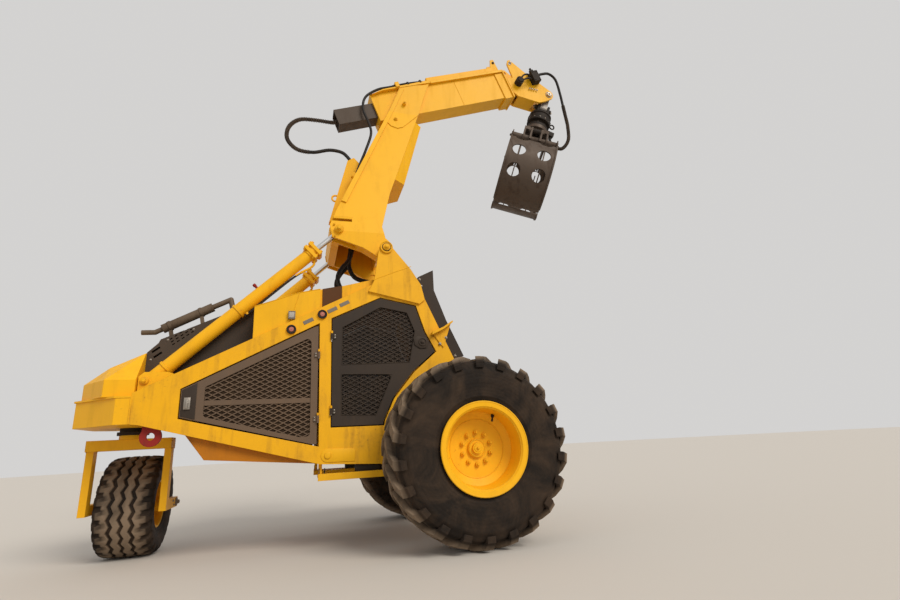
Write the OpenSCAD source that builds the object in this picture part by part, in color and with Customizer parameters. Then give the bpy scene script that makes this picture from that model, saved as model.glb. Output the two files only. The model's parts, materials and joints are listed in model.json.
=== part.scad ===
// Three-wheeled log loader: two driven front wheels, one free caster at the tail,
// a goose-neck boom with a sliding arm, and a two-jaw grapple on a hanging rotator.
// Millimetres. +X points to the grapple end, +Y to the machine's left, +Z up.
// Sizes are written with x = 0 at the drive axle; place() moves all to the row's origin.

/* [Wheels] */
// radius of a drive tyre to the tips of its lugs
drive_r = 800; // [790:5:806]
// width of a drive tyre's tread
drive_w = 560; // [520:10:570]
// lugs on each half of a drive tyre
lug_count = 22; // [16:1:24]
// radius of the caster tyre
caster_r = 450; // [430:5:455]
// width of the caster tyre
caster_w = 470; // [400:10:480]
// how far the caster's axle trails its swivel
caster_trail = 350; // [300:10:400]

/* [Body] */
// half width over the side frames
frame_hw = 620; // [600:5:625]
// thickness of a side frame
frame_t = 60; // [40:5:70]
// half width of the engine hood
hood_hw = 330; // [300:5:335]
// engine block length
engine_len = 860; // [700:20:900]

/* [Boom] */
// half width of the boom's foot
foot_hw = 490; // [480:5:495]
// half width of the outer boom box
box_hw = 120; // [110:5:125]
// depth of the outer boom box
box_h = 395; // [380:5:410]
// rise of the boom over the horizontal, in degrees
boom_rise = 20.5; // [20:0.5:21]

/* [Grapple] */
// swing of the hanging grapple towards the machine, in degrees
hang_deg = 20; // [0:1:25]
// turn of the rotator as photographed, in degrees
yaw_deg = -14; // [-30:1:30]
// width of the jaws
jaw_w = 640; // [560:10:680]
// outer radius of the closed jaws
jaw_r = 500; // [480:5:510]

/* [Lift cylinders] */
// outside diameter of a lift cylinder's barrel
barrel_d = 130; // [110:5:135]
// diameter of a lift cylinder's rod
rod_d = 56; // [45:1:60]

/* [View] */
// which node to show

/* [Hidden] */
$fn = 48;
e = 1;
shift_x = 715;
// running gap at pins and bores
fit = 0.5;
axle_z = drive_r;
yel = [0.93, 0.68, 0.08];
dark = [0.20, 0.19, 0.18];
steel = [0.45, 0.44, 0.42];
brown = [0.36, 0.31, 0.26];
tyre_c = [0.13, 0.12, 0.11];

module place() translate([shift_x, 0, 0]) children();
module both() { children(); mirror([0, 1, 0]) children(); }
// a slab with its outline in x and z, from y0 to y1
module slab(pts, y0, y1)
  translate([0, y1, 0]) rotate([90, 0, 0]) linear_extrude(height = y1 - y0) polygon(pts);
// a round bar along y
module bar_y(x, z, r, y0, y1)
  translate([x, y0, z]) rotate([-90, 0, 0]) cylinder(r = r, h = y1 - y0);
module box(a, b) translate(a) cube([b[0] - a[0], b[1] - a[1], b[2] - a[2]]);

// side frames
frame_out = [[-2850, 1150], [-2850, 1408], [-782, 2477], [-430, 2555], [-262, 2330],
  [34, 1673], [250, 1250], [330, 900], [300, 620], [180, 520], [-260, 520],
  [-620, 700], [-1297, 735], [-2778, 1140]];
engine_open = [[-2485, 1180], [-2485, 1435], [-1322, 2045], [-1310, 889]];
cab_open = [[-1212, 2096], [-728, 2325], [-358, 2250], [-270, 1975], [-160, 1765],
  [-400, 1556], [-608, 1300], [-702, 1091], [-708, 1052], [-1207, 1052]];
inner_hw = frame_hw - frame_t;
// door hinges: x, heights, side of the axis on which the post stands; then how far out, radius
// and half height of a hinge
hinges = [[-1324, [1135, 1730], 1], [-1207, [1196, 1911], -1]];
hinge_out = 12;
hinge_r = 11;
hinge_h = 30;
// chord bosses: x, z
chord_boss = [[-1584, 1975], [-1300, 2130]];
module side_frames() color(yel) place() both() {
  difference() {
    slab(frame_out, -frame_hw, -inner_hw);
    slab(engine_open, -frame_hw - e, -inner_hw + e);
    slab(cab_open, -frame_hw - e, -inner_hw + e);
  }
  for (b = chord_boss) difference() {
    bar_y(b[0], b[1], 46, -frame_hw - 14, -frame_hw);
    bar_y(b[0], b[1], 30, -frame_hw - 15, -frame_hw - 4);
  }
  // knuckles that carry the doors' hinges
  for (h = hinges, z = h[1]) {
    bar_z(h[0], -frame_hw - hinge_out, hinge_r, z + hinge_h + fit, z + hinge_h + 24);
    translate([h[0], 0, 0]) scale([h[2], 1, 1])
      box([0, -frame_hw - hinge_out, z + hinge_h + fit], [hinge_r, -frame_hw, z + hinge_h + 24]);
  }
  // small bracket with its gusset at the front edge
  slab([[-215, 1925], [-90, 1985], [15, 2062], [12, 2080], [-90, 2010], [-205, 1960]],
    -frame_hw - 70, -frame_hw);
  slab([[-190, 1945], [10, 2066], [-83, 1805]], -frame_hw - 12, -frame_hw);
}

// tower ears that carry the boom
lift_x = -660;
lift_z = 2870;
ear_pts = [[-850, 2380], [-320, 2262], [-265, 2310], [-300, 2470], [-405, 2640],
  [-590, 2868], [-616, 2920], [-660, 2944], [-712, 2922], [-734, 2868], [-790, 2500]];
ear_t = 25;
lift_pin_r = 40;
module tower_ears() color(yel) place() both() {
  slab(ear_pts, -frame_hw - ear_t, -frame_hw);
  bar_y(lift_x, lift_z, 62, -frame_hw - 40, -foot_hw - 5);
  bar_y(lift_x, lift_z, lift_pin_r, -frame_hw - 50, -foot_hw + 140);
}

// members between the side frames
module cross_members() color(yel) place() {
  slab([[-2850, 1170], [-2850, 1380], [-2500, 1430], [-2500, 1190]], -inner_hw, inner_hw);
  slab([[-1318, 800], [-1318, 1980], [-1262, 1980], [-1262, 800]], -inner_hw, inner_hw);
  slab([[-430, 2500], [-430, 2540], [-300, 2370], [-320, 2340]], -inner_hw, inner_hw);
  slab([[-150, 560], [-150, 1050], [150, 1050], [280, 900], [280, 640], [160, 560]],
    -inner_hw, inner_hw);
}
belly_pts = [[-2440, 1062], [-2410, 1029], [-2263, 829], [-1322, 742], [-1322, 772], [-2250, 860]];
module belly_plate() color([0.62, 0.30, 0.05]) place() {
  slab(belly_pts, -inner_hw, inner_hw);
  both() slab([[-2440, 1062], [-2263, 830], [-1322, 743], [-1322, 850], [-2263, 1040], [-2430, 1090]],
    -inner_hw, -inner_hw + 12);
}

// tail
tail_low = [[-2850, -frame_hw], [-2965, -frame_hw], [-3375, -250], [-3375, 250], [-2965, frame_hw],
  [-2850, frame_hw]];
tail_up = [[-2850, -inner_hw], [-3088, -inner_hw], [-3345, -230], [-3345, 230], [-3088, inner_hw],
  [-2850, inner_hw]];
tail_z = [1150, 1385, 1530];
// the sloped top: x, half width, z
tail_top = [[-2850, 350, 1800], [-3120, 350, 1665], [-3270, 200, 1590]];
module tail_box() color(yel) place() {
  translate([0, 0, tail_z[0]]) linear_extrude(height = tail_z[1] - tail_z[0]) polygon(tail_low);
  translate([0, 0, tail_z[1] - 16]) linear_extrude(height = 16)
    polygon([for (q = tail_low) [q[0] - (q[0] < -2851 ? 14 : 0), q[1] + sign(q[1]) * 4]]);
}
module tail_hood() color(yel) place() {
  translate([0, 0, tail_z[1]]) linear_extrude(height = tail_z[2] - tail_z[1]) polygon(tail_up);
  hull() {
    translate([0, 0, tail_z[2] - e]) linear_extrude(height = e) polygon(tail_up);
    for (p = tail_top, s = [-1, 1]) translate([p[0] - e, s * (p[1] - e / 2) - e / 2, p[2] - e]) cube(e);
  }
}
// lift cylinders: pins and line
cyl_y = frame_hw - 200;
cyl_a = [-2790, 1523];
cyl_b = [-1138, 3112];
cyl_len = norm(cyl_b - cyl_a);
cyl_deg = atan2(cyl_b[1] - cyl_a[1], cyl_b[0] - cyl_a[0]);
brk_pts = [[-2840, 1381.5], [-2840, 1560], [-2800, 1600], [-2620, 1600], [-2500, 1560], [-2500, 1430]];
module cylinder_brackets() color(yel) place() both() {
  slab(brk_pts, -cyl_y - 109, -cyl_y - 69);
  slab(brk_pts, -cyl_y + 69, -cyl_y + 87);
  bar_y(cyl_a[0], cyl_a[1], 34, -cyl_y - 125, -cyl_y + 87);
}

// engine hood, engine, muffler
hood_out = [[-2850, 1380], [-2850, 1810], [-2765, 1900], [-2750, 1935], [-2301, 2150],
  [-1925, 2330], [-1925, 1890], [-2500, 1590], [-2500, 1430]];
module engine_hood() color(dark) place() difference() {
  slab(hood_out, -hood_hw, hood_hw);
  slab([[-2846, 1370], [-2846, 1806], [-2760, 1898], [-2746, 1931], [-2301, 2145],
    [-1929, 2323], [-1929, 1850], [-2500, 1500], [-2500, 1370]], -hood_hw + 4, hood_hw - 4);
  // slots in the sides: x, z, length
  for (q = [[-2780, 1836, 80], [-2760, 1788, 80]], s = [-1, 1]) translate([q[0], s * hood_hw, q[1]])
    rotate([0, -38, 0]) cube([q[2], 20, 18], center = true);
  for (i = [0 : 4], j = [0 : 2], s = [-1, 1])
    translate([-2640 + 38 * i - 12 * j, s * hood_hw, 1890 + 30 * i + 26 * j])
      rotate([0, -38, 0]) cube([26, 20, 10], center = true);
}
module engine_block() color([0.3, 0.3, 0.3]) place() {
  box([-2380, -290, 1000], [-2380 + engine_len, 290, 1640]);
  slab([[-2200, 855.6], [-2100, 846.1], [-2100, 1001], [-2200, 1001]], -250, 250);
  slab([[-1750, 812.9], [-1650, 803.4], [-1650, 1001], [-1750, 1001]], -250, 250);
}
muffler_y = -180;
muffler_a = [-2780, 2068];
muffler_deg = 28.4;
muffler_len = 490;
function on_muf(d) = [muffler_a[0] + d * cos(muffler_deg), muffler_a[1] + d * sin(muffler_deg)];
function hood_top(x) = 1935.3 + (x + 2750) * 215 / 449;
module pipe_xz(a, b, r) translate([a[0], muffler_y, a[1]])
  rotate([0, 90 - atan2(b[1] - a[1], b[0] - a[0]), 0]) cylinder(r = r, h = norm(b - a));
module strap(d) let (c = on_muf(d), x = c[0] + 14)
  slab([[x, hood_top(x)], [x + 30, hood_top(x + 30)], [c[0] + 15, c[1]], [c[0] - 15, c[1] - 12]],
    muffler_y - 20, muffler_y + 20);
module muffler() color([0.5, 0.48, 0.45]) place() {
  pipe_xz(muffler_a, on_muf(muffler_len), 44);
  pipe_xz(on_muf(-70), on_muf(4), 24);
  translate([on_muf(-70)[0], muffler_y, on_muf(-70)[1]]) sphere(r = 24.2);
  pipe_xz([-2956, 2031], on_muf(-70), 24);
  pipe_xz(on_muf(muffler_len - 4), [-2190, 2384], 26);
  translate([-2190, muffler_y, 2384]) sphere(r = 26.2);
  difference() {
    pipe_xz([-2150, hood_top(-2150) - 3], [-2190, 2384], 26);
    slab(hood_out, -hood_hw, hood_hw);
  }
  for (d = [70, 370]) {
    strap(d);
    pipe_xz(on_muf(d - 14), on_muf(d + 14), 50);
  }
}

// tank housing, cab
tank_pts = [[-1925, 1886.2], [-1925, 2203], [-1518, 2355], [-1322, 2400], [-1322, 2197.9]];
tank_hw = frame_hw - 20;
module tank_housing() color(yel) place() slab(tank_pts, -tank_hw, tank_hw);
module side_lamps() color([0.7, 0.7, 0.7]) place() both()
  box([-1612, -tank_hw - 34, 2085], [-1556, -tank_hw, 2152]);
roof_pts = [[-1322, 2170], [-1322, 2405], [-1113, 2449], [-778, 2539], [-440, 2560],
  [-440, 2480], [-778, 2440]];
module cab_roof() color(yel) place() {
  slab(roof_pts, -inner_hw, inner_hw);
  // blocks for the ends of the foot's hoses
  both() slab([loop_seat[0], loop_seat[1], [-950, 2500], [-950, 2470], [-1040, 2450]], -135, -85);
  box([-690, -30, 2530], [-640, 30, 2725]);
}
module cab_floor() color(dark) place() box([-1262, -inner_hw, 1010], [-150, inner_hw, 1035]);
seat_pts = [[-1120, 1300.3], [-650, 1300.3], [-630, 1330], [-640, 1400], [-980, 1420],
  [-1045, 1950], [-1075, 1975], [-1160, 1965], [-1180, 1930]];
module cab_furniture() color(dark) place() {
  box([-1120, -230, 1035], [-720, 230, 1300]);
  both() {
    box([-620, -420, 1035], [-560, -330, 1560]);
    hull() {
      box([-660, -430, 1540], [-530, -320, 1560]);
      box([-640, -420, 1600], [-560, -330, 1605]);
    }
    bar_z(-600, -375, 12, 1600, 1720);
    translate([-600, -375, 1725]) sphere(r = 26);
  }
}
module seat_cushion() color([0.1, 0.1, 0.1]) place() slab(seat_pts, -240, 240);
guard_pts = [[-306, 2588], [-139, 2672], [-138, 2444], [-18, 2113], [154, 1729],
  [40, 1690], [-20, 1690], [-285, 2345], [-330, 2560]];
guard_hw = inner_hw;
module front_guard() color(dark) place() {
  both() slab(guard_pts, -guard_hw, -guard_hw + 12);
  slab([[-139, 2672], [-138, 2444], [-18, 2113], [154, 1729], [146, 1726], [-30, 2110],
    [-150, 2442], [-151, 2666]], -guard_hw + 12, guard_hw - 12);
}

// axle ends and swivel
wheel_y = 1124;
// from a wheel's middle plane to the inner face of its dish
hub_in = 40;
module final_drives() color(yel) place() both() {
  bar_y(0, axle_z, 210, -760, -frame_hw);
  bar_y(0, axle_z, 150, -1010, -755);
  bar_y(0, axle_z, 100, fit - wheel_y - hub_in, -1005);
}
yoke_x = -2970;
module swivel_bearing() color(dark) place() {
  translate([yoke_x, 0, 1086]) cylinder(r = 130, h = 30);
  translate([yoke_x, 0, 1116]) cylinder(r = 110, h = 34);
}
module tow_ring() color([0.75, 0.08, 0.08]) place() difference() {
  union() {
    bar_y(-2690, 1045, 84, -inner_hw, -inner_hw + 25);
    box([-2760, -inner_hw, 1045], [-2620, -inner_hw + 25, 1165]);
  }
  bar_y(-2690, 1045, 32, -inner_hw - 10, -inner_hw + 35);
}
module side_steps() color(yel) place() both() {
  box([-1312, -640, 594], [-711, -620, 653]);
  box([-1312, -620, 620], [-711, -450, 645]);
  for (x = [-1290, -830]) box([x - 15, -560, 640], [x + 15, -530, 790]);
}

// drive wheels
rim_lip_r = 383;
// half section of a drive tyre: radius, distance from the middle plane
drive_sec = [[339.3, 250], [375, 262], [430, 288], [560, 296], [650, 290], [712, 262], [746, 205]];
// a lug as four sections along it: turn in degrees, distance across, foot, top, half width
lug_sec = [[-8, -18, 735, drive_r, 33], [2, 165, 735, drive_r - 2, 34],
  [7, 262, 728, drive_r - 22, 38], [8, 300, 672, drive_r - 78, 36]];
function on_lug(q, side, r) = let (a = q[0] + side * q[4] / r * 57.3) [r * cos(a), r * sin(a), q[1]];
lug_k = len(lug_sec);
module lug() polyhedron(
  points = [for (q = lug_sec)
    for (c = [[-1, q[2]], [1, q[2]], [1, q[3]], [-1, q[3]]]) on_lug(q, c[0], c[1])],
  faces = concat([[3, 2, 1, 0]], [[for (j = [0 : 3]) 4 * lug_k - 4 + j]],
    [for (i = [0 : lug_k - 2], j = [0 : 3]) [4 * i + j, 4 * i + (j + 1) % 4, 4 * i + 4 + j]],
    [for (i = [0 : lug_k - 2], j = [0 : 3])
      [4 * i + (j + 1) % 4, 4 * i + 4 + (j + 1) % 4, 4 * i + 4 + j]]));
module drive_tyre() color(tyre_c) translate([0, -wheel_y, axle_z]) rotate([90, 0, 0]) {
  rotate_extrude() polygon(concat(drive_sec, [for (i = [len(drive_sec) - 1 : -1 : 0])
    [drive_sec[i][0], -drive_sec[i][1]]]));
  for (i = [0 : lug_count - 1]) {
    rotate([0, 0, 360 / lug_count * i]) lug();
    rotate([0, 0, 360 / lug_count * (i + 0.5)]) mirror([0, 0, 1]) lug();
  }
}
module drive_rim() color(yel) translate([0, -wheel_y, axle_z]) rotate([90, 0, 0]) {
  rotate_extrude() polygon([[325, -250], [339, -250], [339, 285], [383, 285], [386, 296], [378, 304],
    [340, 300], [325, 280], [318, 230], [308, 118], [240, 78], [60, 60], [0, 60], [0, hub_in], [60, hub_in],
    [250, 58], [318, 92], [325, 60]]);
  translate([0, 0, 59]) cylinder(r = 78, h = 30);
  translate([0, 0, 88]) cylinder(r = 45, h = 26);
  for (i = [0 : 9]) rotate([0, 0, 36 * i + 18]) translate([134, 0, 60]) cylinder(r = 17, h = 26);
}
module tyre_right() place() drive_tyre();
module tyre_left() place() mirror([0, 1, 0]) drive_tyre();
module rim_right() place() drive_rim();
module rim_left() place() mirror([0, 1, 0]) drive_rim();

// caster, turned a quarter turn as photographed
caster_z = caster_r;
yoke_hw = 315;
module caster_yoke() color(yel) place() translate([yoke_x, 0, 0]) {
  box([-yoke_hw - 30, -80, 955], [yoke_hw + 30, 80, 1050]);
  translate([0, 0, 1049]) cylinder(r = 110, h = 37 - fit);
  translate([0, caster_trail, caster_z]) rotate([0, 90, 0])
    cylinder(r = 30, h = 2 * yoke_hw, center = true);
  for (s = [-1, 1]) {
    box([s * yoke_hw - 30, -45, caster_z - 30], [s * yoke_hw + 30, 45, 960]);
    box([s * yoke_hw - 30, -45, caster_z - 45],
      [s * yoke_hw + 30, caster_trail + 60, caster_z + 45]);
    translate([s * 268, caster_trail, caster_z]) rotate([0, 90, 0])
      cylinder(r = 40, h = 60, center = true);
  }
}
// half section of the caster tyre: depth under the tread, share of the half width
caster_sec = [[0, 0.6], [2, 0.8], [8, 0.93], [30, 0.99], [75, 1], [140, 0.97], [200, 0.9]];
// grooves round its tread: half width, depth; the outer ones' place as a share of the half width
groove = [7, 13];
groove_at = 0.36;
module caster_tyre() color(tyre_c) place() translate([yoke_x, caster_trail, caster_z])
  rotate([0, 90, 0]) let (w = caster_w / 2, top = caster_r, g = groove,
    b = w * groove_at,
    half = concat([for (i = [len(caster_sec) - 1 : -1 : 0]) [top - caster_sec[i][0], w * caster_sec[i][1]]],
      [[top, b + g[0] + 4], [top - g[1], b + g[0]], [top - g[1], b - g[0]], [top, b - g[0] - 4],
      [top, g[0] + 4], [top - g[1], g[0]]]))
  rotate_extrude() polygon(concat([[219.3, w * 0.86]], half,
    [for (i = [len(half) - 1 : -1 : 0]) [half[i][0], -half[i][1]]], [[219.3, -w * 0.86]]));
module caster_rim() color(yel) place() translate([yoke_x, caster_trail, caster_z])
  rotate([0, 90, 0]) difference() {
    union() {
      difference() {
        cylinder(r = 219, h = 400, center = true);
        for (s = [-1, 1]) translate([0, 0, s * 150]) cylinder(r = 200, h = 200, center = true);
      }
      cylinder(r = 70, h = 470, center = true);
    }
    cylinder(r = 31, h = 500, center = true);
  }

// doors
engine_door_pts = [[-2475, 1192], [-2475, 1428], [-1362, 2008], [-1332, 2014], [-1330, 910],
  [-1362, 911]];
engine_hole = [[-2290, 1190], [-2290, 1448], [-1421, 1894], [-1395, 1855], [-1390, 985], [-1477, 980]];
cab_door_pts = [[-1202, 2085], [-728, 2313], [-368, 2240], [-283, 1970], [-178, 1767],
  [-410, 1566], [-620, 1306], [-714, 1094], [-722, 1062], [-1200, 1062]];
cab_win_up = [[-1103, 2006], [-730, 2222], [-455, 2171], [-378, 1975], [-442, 1656], [-1109, 1635]];
cab_win_low = [[-1113, 1545], [-621, 1538], [-785, 1149], [-1110, 1161]];
mesh_deg = 27;
mesh_pitch = 78;
// a window outline with round corners, standing in x and z
module hole(pts, y0, y1, d) translate([0, y1, 0]) rotate([90, 0, 0]) linear_extrude(height = y1 - y0)
  offset(delta = d) offset(r = 32, $fn = 16) offset(delta = -32) polygon(pts);
// flat bars at both slants, the two layers a hair apart, ends in the door's plate
module mesh(pts, cx, cz, n) for (k = [-1, 1]) intersection() {
  hole(pts, -frame_hw + 9, -frame_hw + 21, 4);
  for (i = [-n : n]) translate([cx, -frame_hw + 12.5 + k * 2.2, cz]) rotate([0, k * mesh_deg, 0])
    translate([0, 0, i * mesh_pitch]) cube([2400, 4, 9], center = true);
}
module hinge_pair(x, zs) for (z = zs) {
  bar_z(x, -frame_hw - hinge_out, hinge_r, z - hinge_h, z + hinge_h);
  box([x - 40, -frame_hw - 9, z - 22], [x, -frame_hw, z + 22]);
}
module bar_z(x, y, r, z0, z1) translate([x, y, z0]) cylinder(r = r, h = z1 - z0);
module engine_door() color(brown) {
  difference() {
    slab(engine_door_pts, -frame_hw, -frame_hw + 30);
    hole(engine_hole, -frame_hw - e, -frame_hw + 30 + e, 0);
  }
  mesh(engine_hole, -1840, 1440, 8);
  box([-2293, -frame_hw + 5, 1285], [-1385, -frame_hw + 25, 1330]);
  hinge_pair(hinges[0][0], hinges[0][1]);
  box([-2440, -frame_hw - 14, 1262], [-2400, -frame_hw, 1352]);
}
module engine_door_right() place() engine_door();
module engine_door_left() place() mirror([0, 1, 0]) engine_door();
module cab_door() color(dark) {
  difference() {
    slab(cab_door_pts, -frame_hw, -frame_hw + 30);
    hole(cab_win_up, -frame_hw - e, -frame_hw + 30 + e, 0);
    hole(cab_win_low, -frame_hw - e, -frame_hw + 30 + e, 0);
  }
  mesh(cab_win_up, -770, 1930, 7);
  mesh(cab_win_low, -900, 1350, 6);
  mirror([1, 0, 0]) hinge_pair(-hinges[1][0], hinges[1][1]);
  bar_y(-303, 1862, 44, -frame_hw - 12, -frame_hw);
  bar_y(-303, 1862, 18, -frame_hw - 22, -frame_hw);
}
module cab_door_right() place() cab_door();
module cab_door_left() place() mirror([0, 1, 0]) cab_door();

// boom riser, tapered from foot to knee
riser_pts = [[-1208, 3025], [-760, 2880], [-629, 3000], [-672, 3185], [-562, 3649],
  [-127, 4948], [60, 5530], [-330, 5380], [-1168, 3356], [-1235, 3167]];
riser_in = [[-1040, 3300], [-700, 3300], [-588, 3660], [-190, 4850], [-380, 4850], [-1075, 3380]];
riser_strip = [[-1113, 3490], [-352, 5328], [-302, 5320], [-1058, 3470]];
riser_doubler = [[-345, 5380], [20, 5450], [-120, 4960], [-215, 4855], [-340, 4715], [-410, 4685],
  [-490, 4710], [-545, 4775], [-548, 4850]];
// the bevelled nose in front: x at the fold, x in front, half width at the fold and in front, z
nose_sec = [[-505, -352, 340, 215, 3885], [-180, -72, 163, 62, 4850]];
foot_pad = [[-900, 2930], [-735, 2830], [-585, 2840], [-600, 3010], [-700, 3100]];
riser_t = 22;
pad_hw = 75;
pad_y = foot_hw - pad_hw;
// half of the gap between the foot's plates
gap_hw = foot_hw - 2 * pad_hw;
taper_z = [2800, 3100, 4950, 5600];
taper_y = [foot_hw, foot_hw, 150, 150];
module taper(t) translate([-1600, 0, 0]) rotate([90, 0, 90]) linear_extrude(height = 2000)
  polygon([for (i = [0 : 3]) [t - taper_y[i], taper_z[i]],
    for (i = [3 : -1 : 0]) [taper_y[i] - t, taper_z[i]]]);
slot_pts = [[-1300, 2800], [-1300, 3260], [-1000, 3260], [-1000, 3112], [-900, 2800]];
slot_hw = 47;
module riser_body() difference() {
  union() {
    intersection() { slab(riser_pts, -600, 600); taper(0); }
    intersection() { slab(riser_strip, -600, 600); taper(-16); }
    intersection() { slab(riser_doubler, -600, 600); taper(-9); }
    hull() for (q = nose_sec) translate([0, 0, q[4]]) linear_extrude(height = 1)
      polygon([[q[0], -q[2]], [q[1], -q[3]], [q[1], q[3]], [q[0], q[2]]]);
    // top flange of the knee
    boom_frame() slab([[-520, 366], [-345, 412], [300, 436], [345, 396], [-345, 396]], -165, 165);
    // channel for the hoses up the back, and the lifting ring
    slab([[-1220, 3400], tail_seat[0], tail_seat[1], [-800, 4150], [-1050, 3500]], -45, 45);
    slab([knee_seat[0], knee_seat[1], [-900, 3930], [-977, 3959]], -180, -120);
    boom_frame() box([-160, -180, 405], [-110, -110, 475]);
    translate([-1150, 0, 3735]) rotate([90, 0, 0]) rotate_extrude() translate([38, 0]) circle(r = 11);
    for (s = [-1, 1]) {
      bar_y(cyl_b[0], cyl_b[1], 46, s * (foot_hw + 14) - 16, s * (foot_hw + 14) + 16);
      slab(foot_pad, s * pad_y - pad_hw, s * pad_y + pad_hw);
      bar_y(lift_x, lift_z, 85, s * pad_y - pad_hw, s * pad_y + pad_hw);
      for (h = [[-306, 5090], [-426, 4831]]) bar_y(h[0], h[1], 24, s * 176 - 22, s * 176 + 22);
    }
  }
  intersection() { slab(riser_in, -600, 600); taper(riser_t); }
  for (s = [-1, 1]) slab(slot_pts, s * cyl_y - slot_hw, s * cyl_y + slot_hw);
  slab([[-1180, 2700], [-1080, 3301], [-700, 3301], [-640, 2700]], -gap_hw, gap_hw);
  bar_y(lift_x, lift_z, lift_pin_r + 1, -foot_hw - 10, foot_hw + 10);
  boom_frame() box([-531, -box_hw, 0], [600, box_hw, box_h]);
}

module boom_riser() color(yel) place() {
  riser_body();
  // bar between the foot's plates, where the foot's hoses start
  box([-975, -gap_hw - 5, 3250], [-925, gap_hw + 5, 3290]);
}

// outer boom, in the boom's own frame
boom_o = [-112, 5008];
module boom_frame() translate([boom_o[0], 0, boom_o[1]]) rotate([0, -boom_rise, 0]) children();
wall = 12;
module outer_boom() color(yel) place() boom_frame() {
  difference() {
    union() {
      box([-530, -box_hw, 0], [1500, box_hw, box_h]);
      box([1360, -box_hw - 14, -22], [1500, box_hw + 14, box_h - 8]);
      box([1488, -box_hw - 32, -30], [1506, box_hw + 32, box_h + 10]);
      box([346, -box_hw - 34, box_h], [1500, box_hw + 34, box_h + 14]);
      box([346, -box_hw - 34, box_h + 14], [1500, -box_hw - 24, box_h + 34]);
    }
    box([-510, -box_hw + wall, wall], [1480, box_hw - wall, box_h - wall]);
    box([-531, -91, 74], [1507, 91, 288]);
  }
  // raised channel over the slide cylinder
  box([346, -78, box_h + 10], [1440, 78, box_h + 145]);
  both() slab([[1330, box_h + 10], [1440, box_h + 270], [1490, box_h + 270], [1500, box_h + 10]], -78, -60);
}
module inner_boom() color(brown) place() boom_frame() difference() {
  box([-1045, -90, 75], [1700, 90, 287]);
  box([-1046, -82, 83], [-1000, 82, 279]);
  box([-985, -82, 83], [1500, 82, 279]);
}
head_pts = [[1540, 70], [1540, 300], [1640, 300], [1655, 540], [1690, 590], [1725, 590], [1874, 347],
  [2150, -35], [2162, -75], [2150, -120], [2118, -148], [2088, -153], [1990, -170], [1875, -170],
  [1590, -7]];
pin_s = [2088, -81];
module boom_head() color(yel) place() boom_frame() {
  difference() {
    both() slab(head_pts, -115, -90);
    bar_y(1702, 535, 24, -130, 130);
  }
  slab([[1590, -7], [1814, -135], [1824, -135], [1824, -117], [1600, 12]], -90, 90);
  slab([[1640, 288], [1640, 300], [1800, 300], [1800, 288]], -90, 90);
  bar_y(pin_s[0], pin_s[1], 28, -135, 135);
}
module head_valves() color([0.08, 0.08, 0.08]) place() boom_frame() {
  bar_y(1680, 190, 56, -200, -115);
  box([1895, -215, 118], [2005, -115, 288]);
  box([1915, -190, 288], [1965, -150, 325]);
}

// lift cylinders, in the cylinder's own frame
module cyl_frame() translate([cyl_a[0], -cyl_y, cyl_a[1]]) rotate([0, -cyl_deg, 0]) children();
module bar_x(x0, x1, r) translate([x0, 0, 0]) rotate([0, 90, 0]) cylinder(r = r, h = x1 - x0);
cyl_eye = 60;
module lift_barrel() color(yel) cyl_frame() difference() {
  union() {
    rotate([90, 0, 0]) cylinder(r = 52, h = 2 * cyl_eye, center = true);
    bar_x(45, 1900, barrel_d / 2);
    for (x = [175, 965]) bar_x(x, x + 22, barrel_d / 2 + 9);
    for (x = [1880, 1940]) box([x, -84, -84], [x + 34, 84, 84]);
    bar_x(1860, 1945, 74);
    translate([1020, 0, -barrel_d / 2 - 18]) cylinder(r = 17, h = 40);
  }
  rotate([90, 0, 0]) cylinder(r = 35, h = 140, center = true);
  bar_x(200, 1990, rod_d / 2 + 1);
}
module lift_rod() color(steel) cyl_frame() {
  bar_x(400, cyl_len - 40, rod_d / 2);
  translate([cyl_len, 0, 0]) rotate([90, 0, 0]) cylinder(r = 58, h = 84, center = true);
}
module lift_barrel_right() place() lift_barrel();
module lift_barrel_left() place() mirror([0, 1, 0]) lift_barrel();
module lift_rod_right() place() lift_rod();
module lift_rod_left() place() mirror([0, 1, 0]) lift_rod();

// hanging grapple, in its own frame with the link pin at the origin
module hang() translate([boom_o[0], 0, boom_o[1]]) rotate([0, -boom_rise, 0])
  translate([pin_s[0], 0, pin_s[1]]) rotate([0, boom_rise + hang_deg, 0]) children();
module turned() hang() rotate([0, 0, yaw_deg]) children();
cross_z = -190;
module crane_link() color(steel) place() hang() difference() {
  union() {
    rotate([90, 0, 0]) cylinder(r = 55, h = 170, center = true);
    box([-50, -50, cross_z + 5], [50, 50, 0]);
    translate([0, 0, cross_z]) rotate([0, 90, 0]) cylinder(r = 50, h = 110, center = true);
  }
  rotate([90, 0, 0]) cylinder(r = 29, h = 200, center = true);
  translate([0, 0, cross_z]) rotate([0, 90, 0]) cylinder(r = 26, h = 200, center = true);
}
// rotator rings: radius, from z, to z
rotor_sec = [[118, -345, -300], [160, -372, -345], [150, -470, -372], [165, -500, -470], [120, -560, -500],
  [148, -600, -560]];
module rotator() color(dark) place() hang() {
  for (s = [-1, 1]) {
    box([s * 75 - 15, -60, cross_z - 125], [s * 75 + 15, 60, cross_z + 40]);
    bar_t(0, cross_z, 34, s * 108 - 20, s * 108 + 20);
    box([s * 130 - 35, -40, -465], [s * 130 + 35, 40, -385]);
  }
  box([110, -35, -598], [258, 35, -530]);
  bar_t(0, cross_z, 25, -92.5, 92.5);
  for (q = rotor_sec) translate([0, 0, q[1]]) cylinder(r = q[0], h = q[2] - q[1]);
  for (i = [0 : 7]) rotate([0, 0, 45 * i + 22]) translate([132, 0, -572]) cylinder(r = 12, h = 30);
}
jaw_p = [240, -990];
jaw_c = -1450;
jaw_lug = [-60, 102];
frame_x = 150;
frame_t2 = 25;
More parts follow.
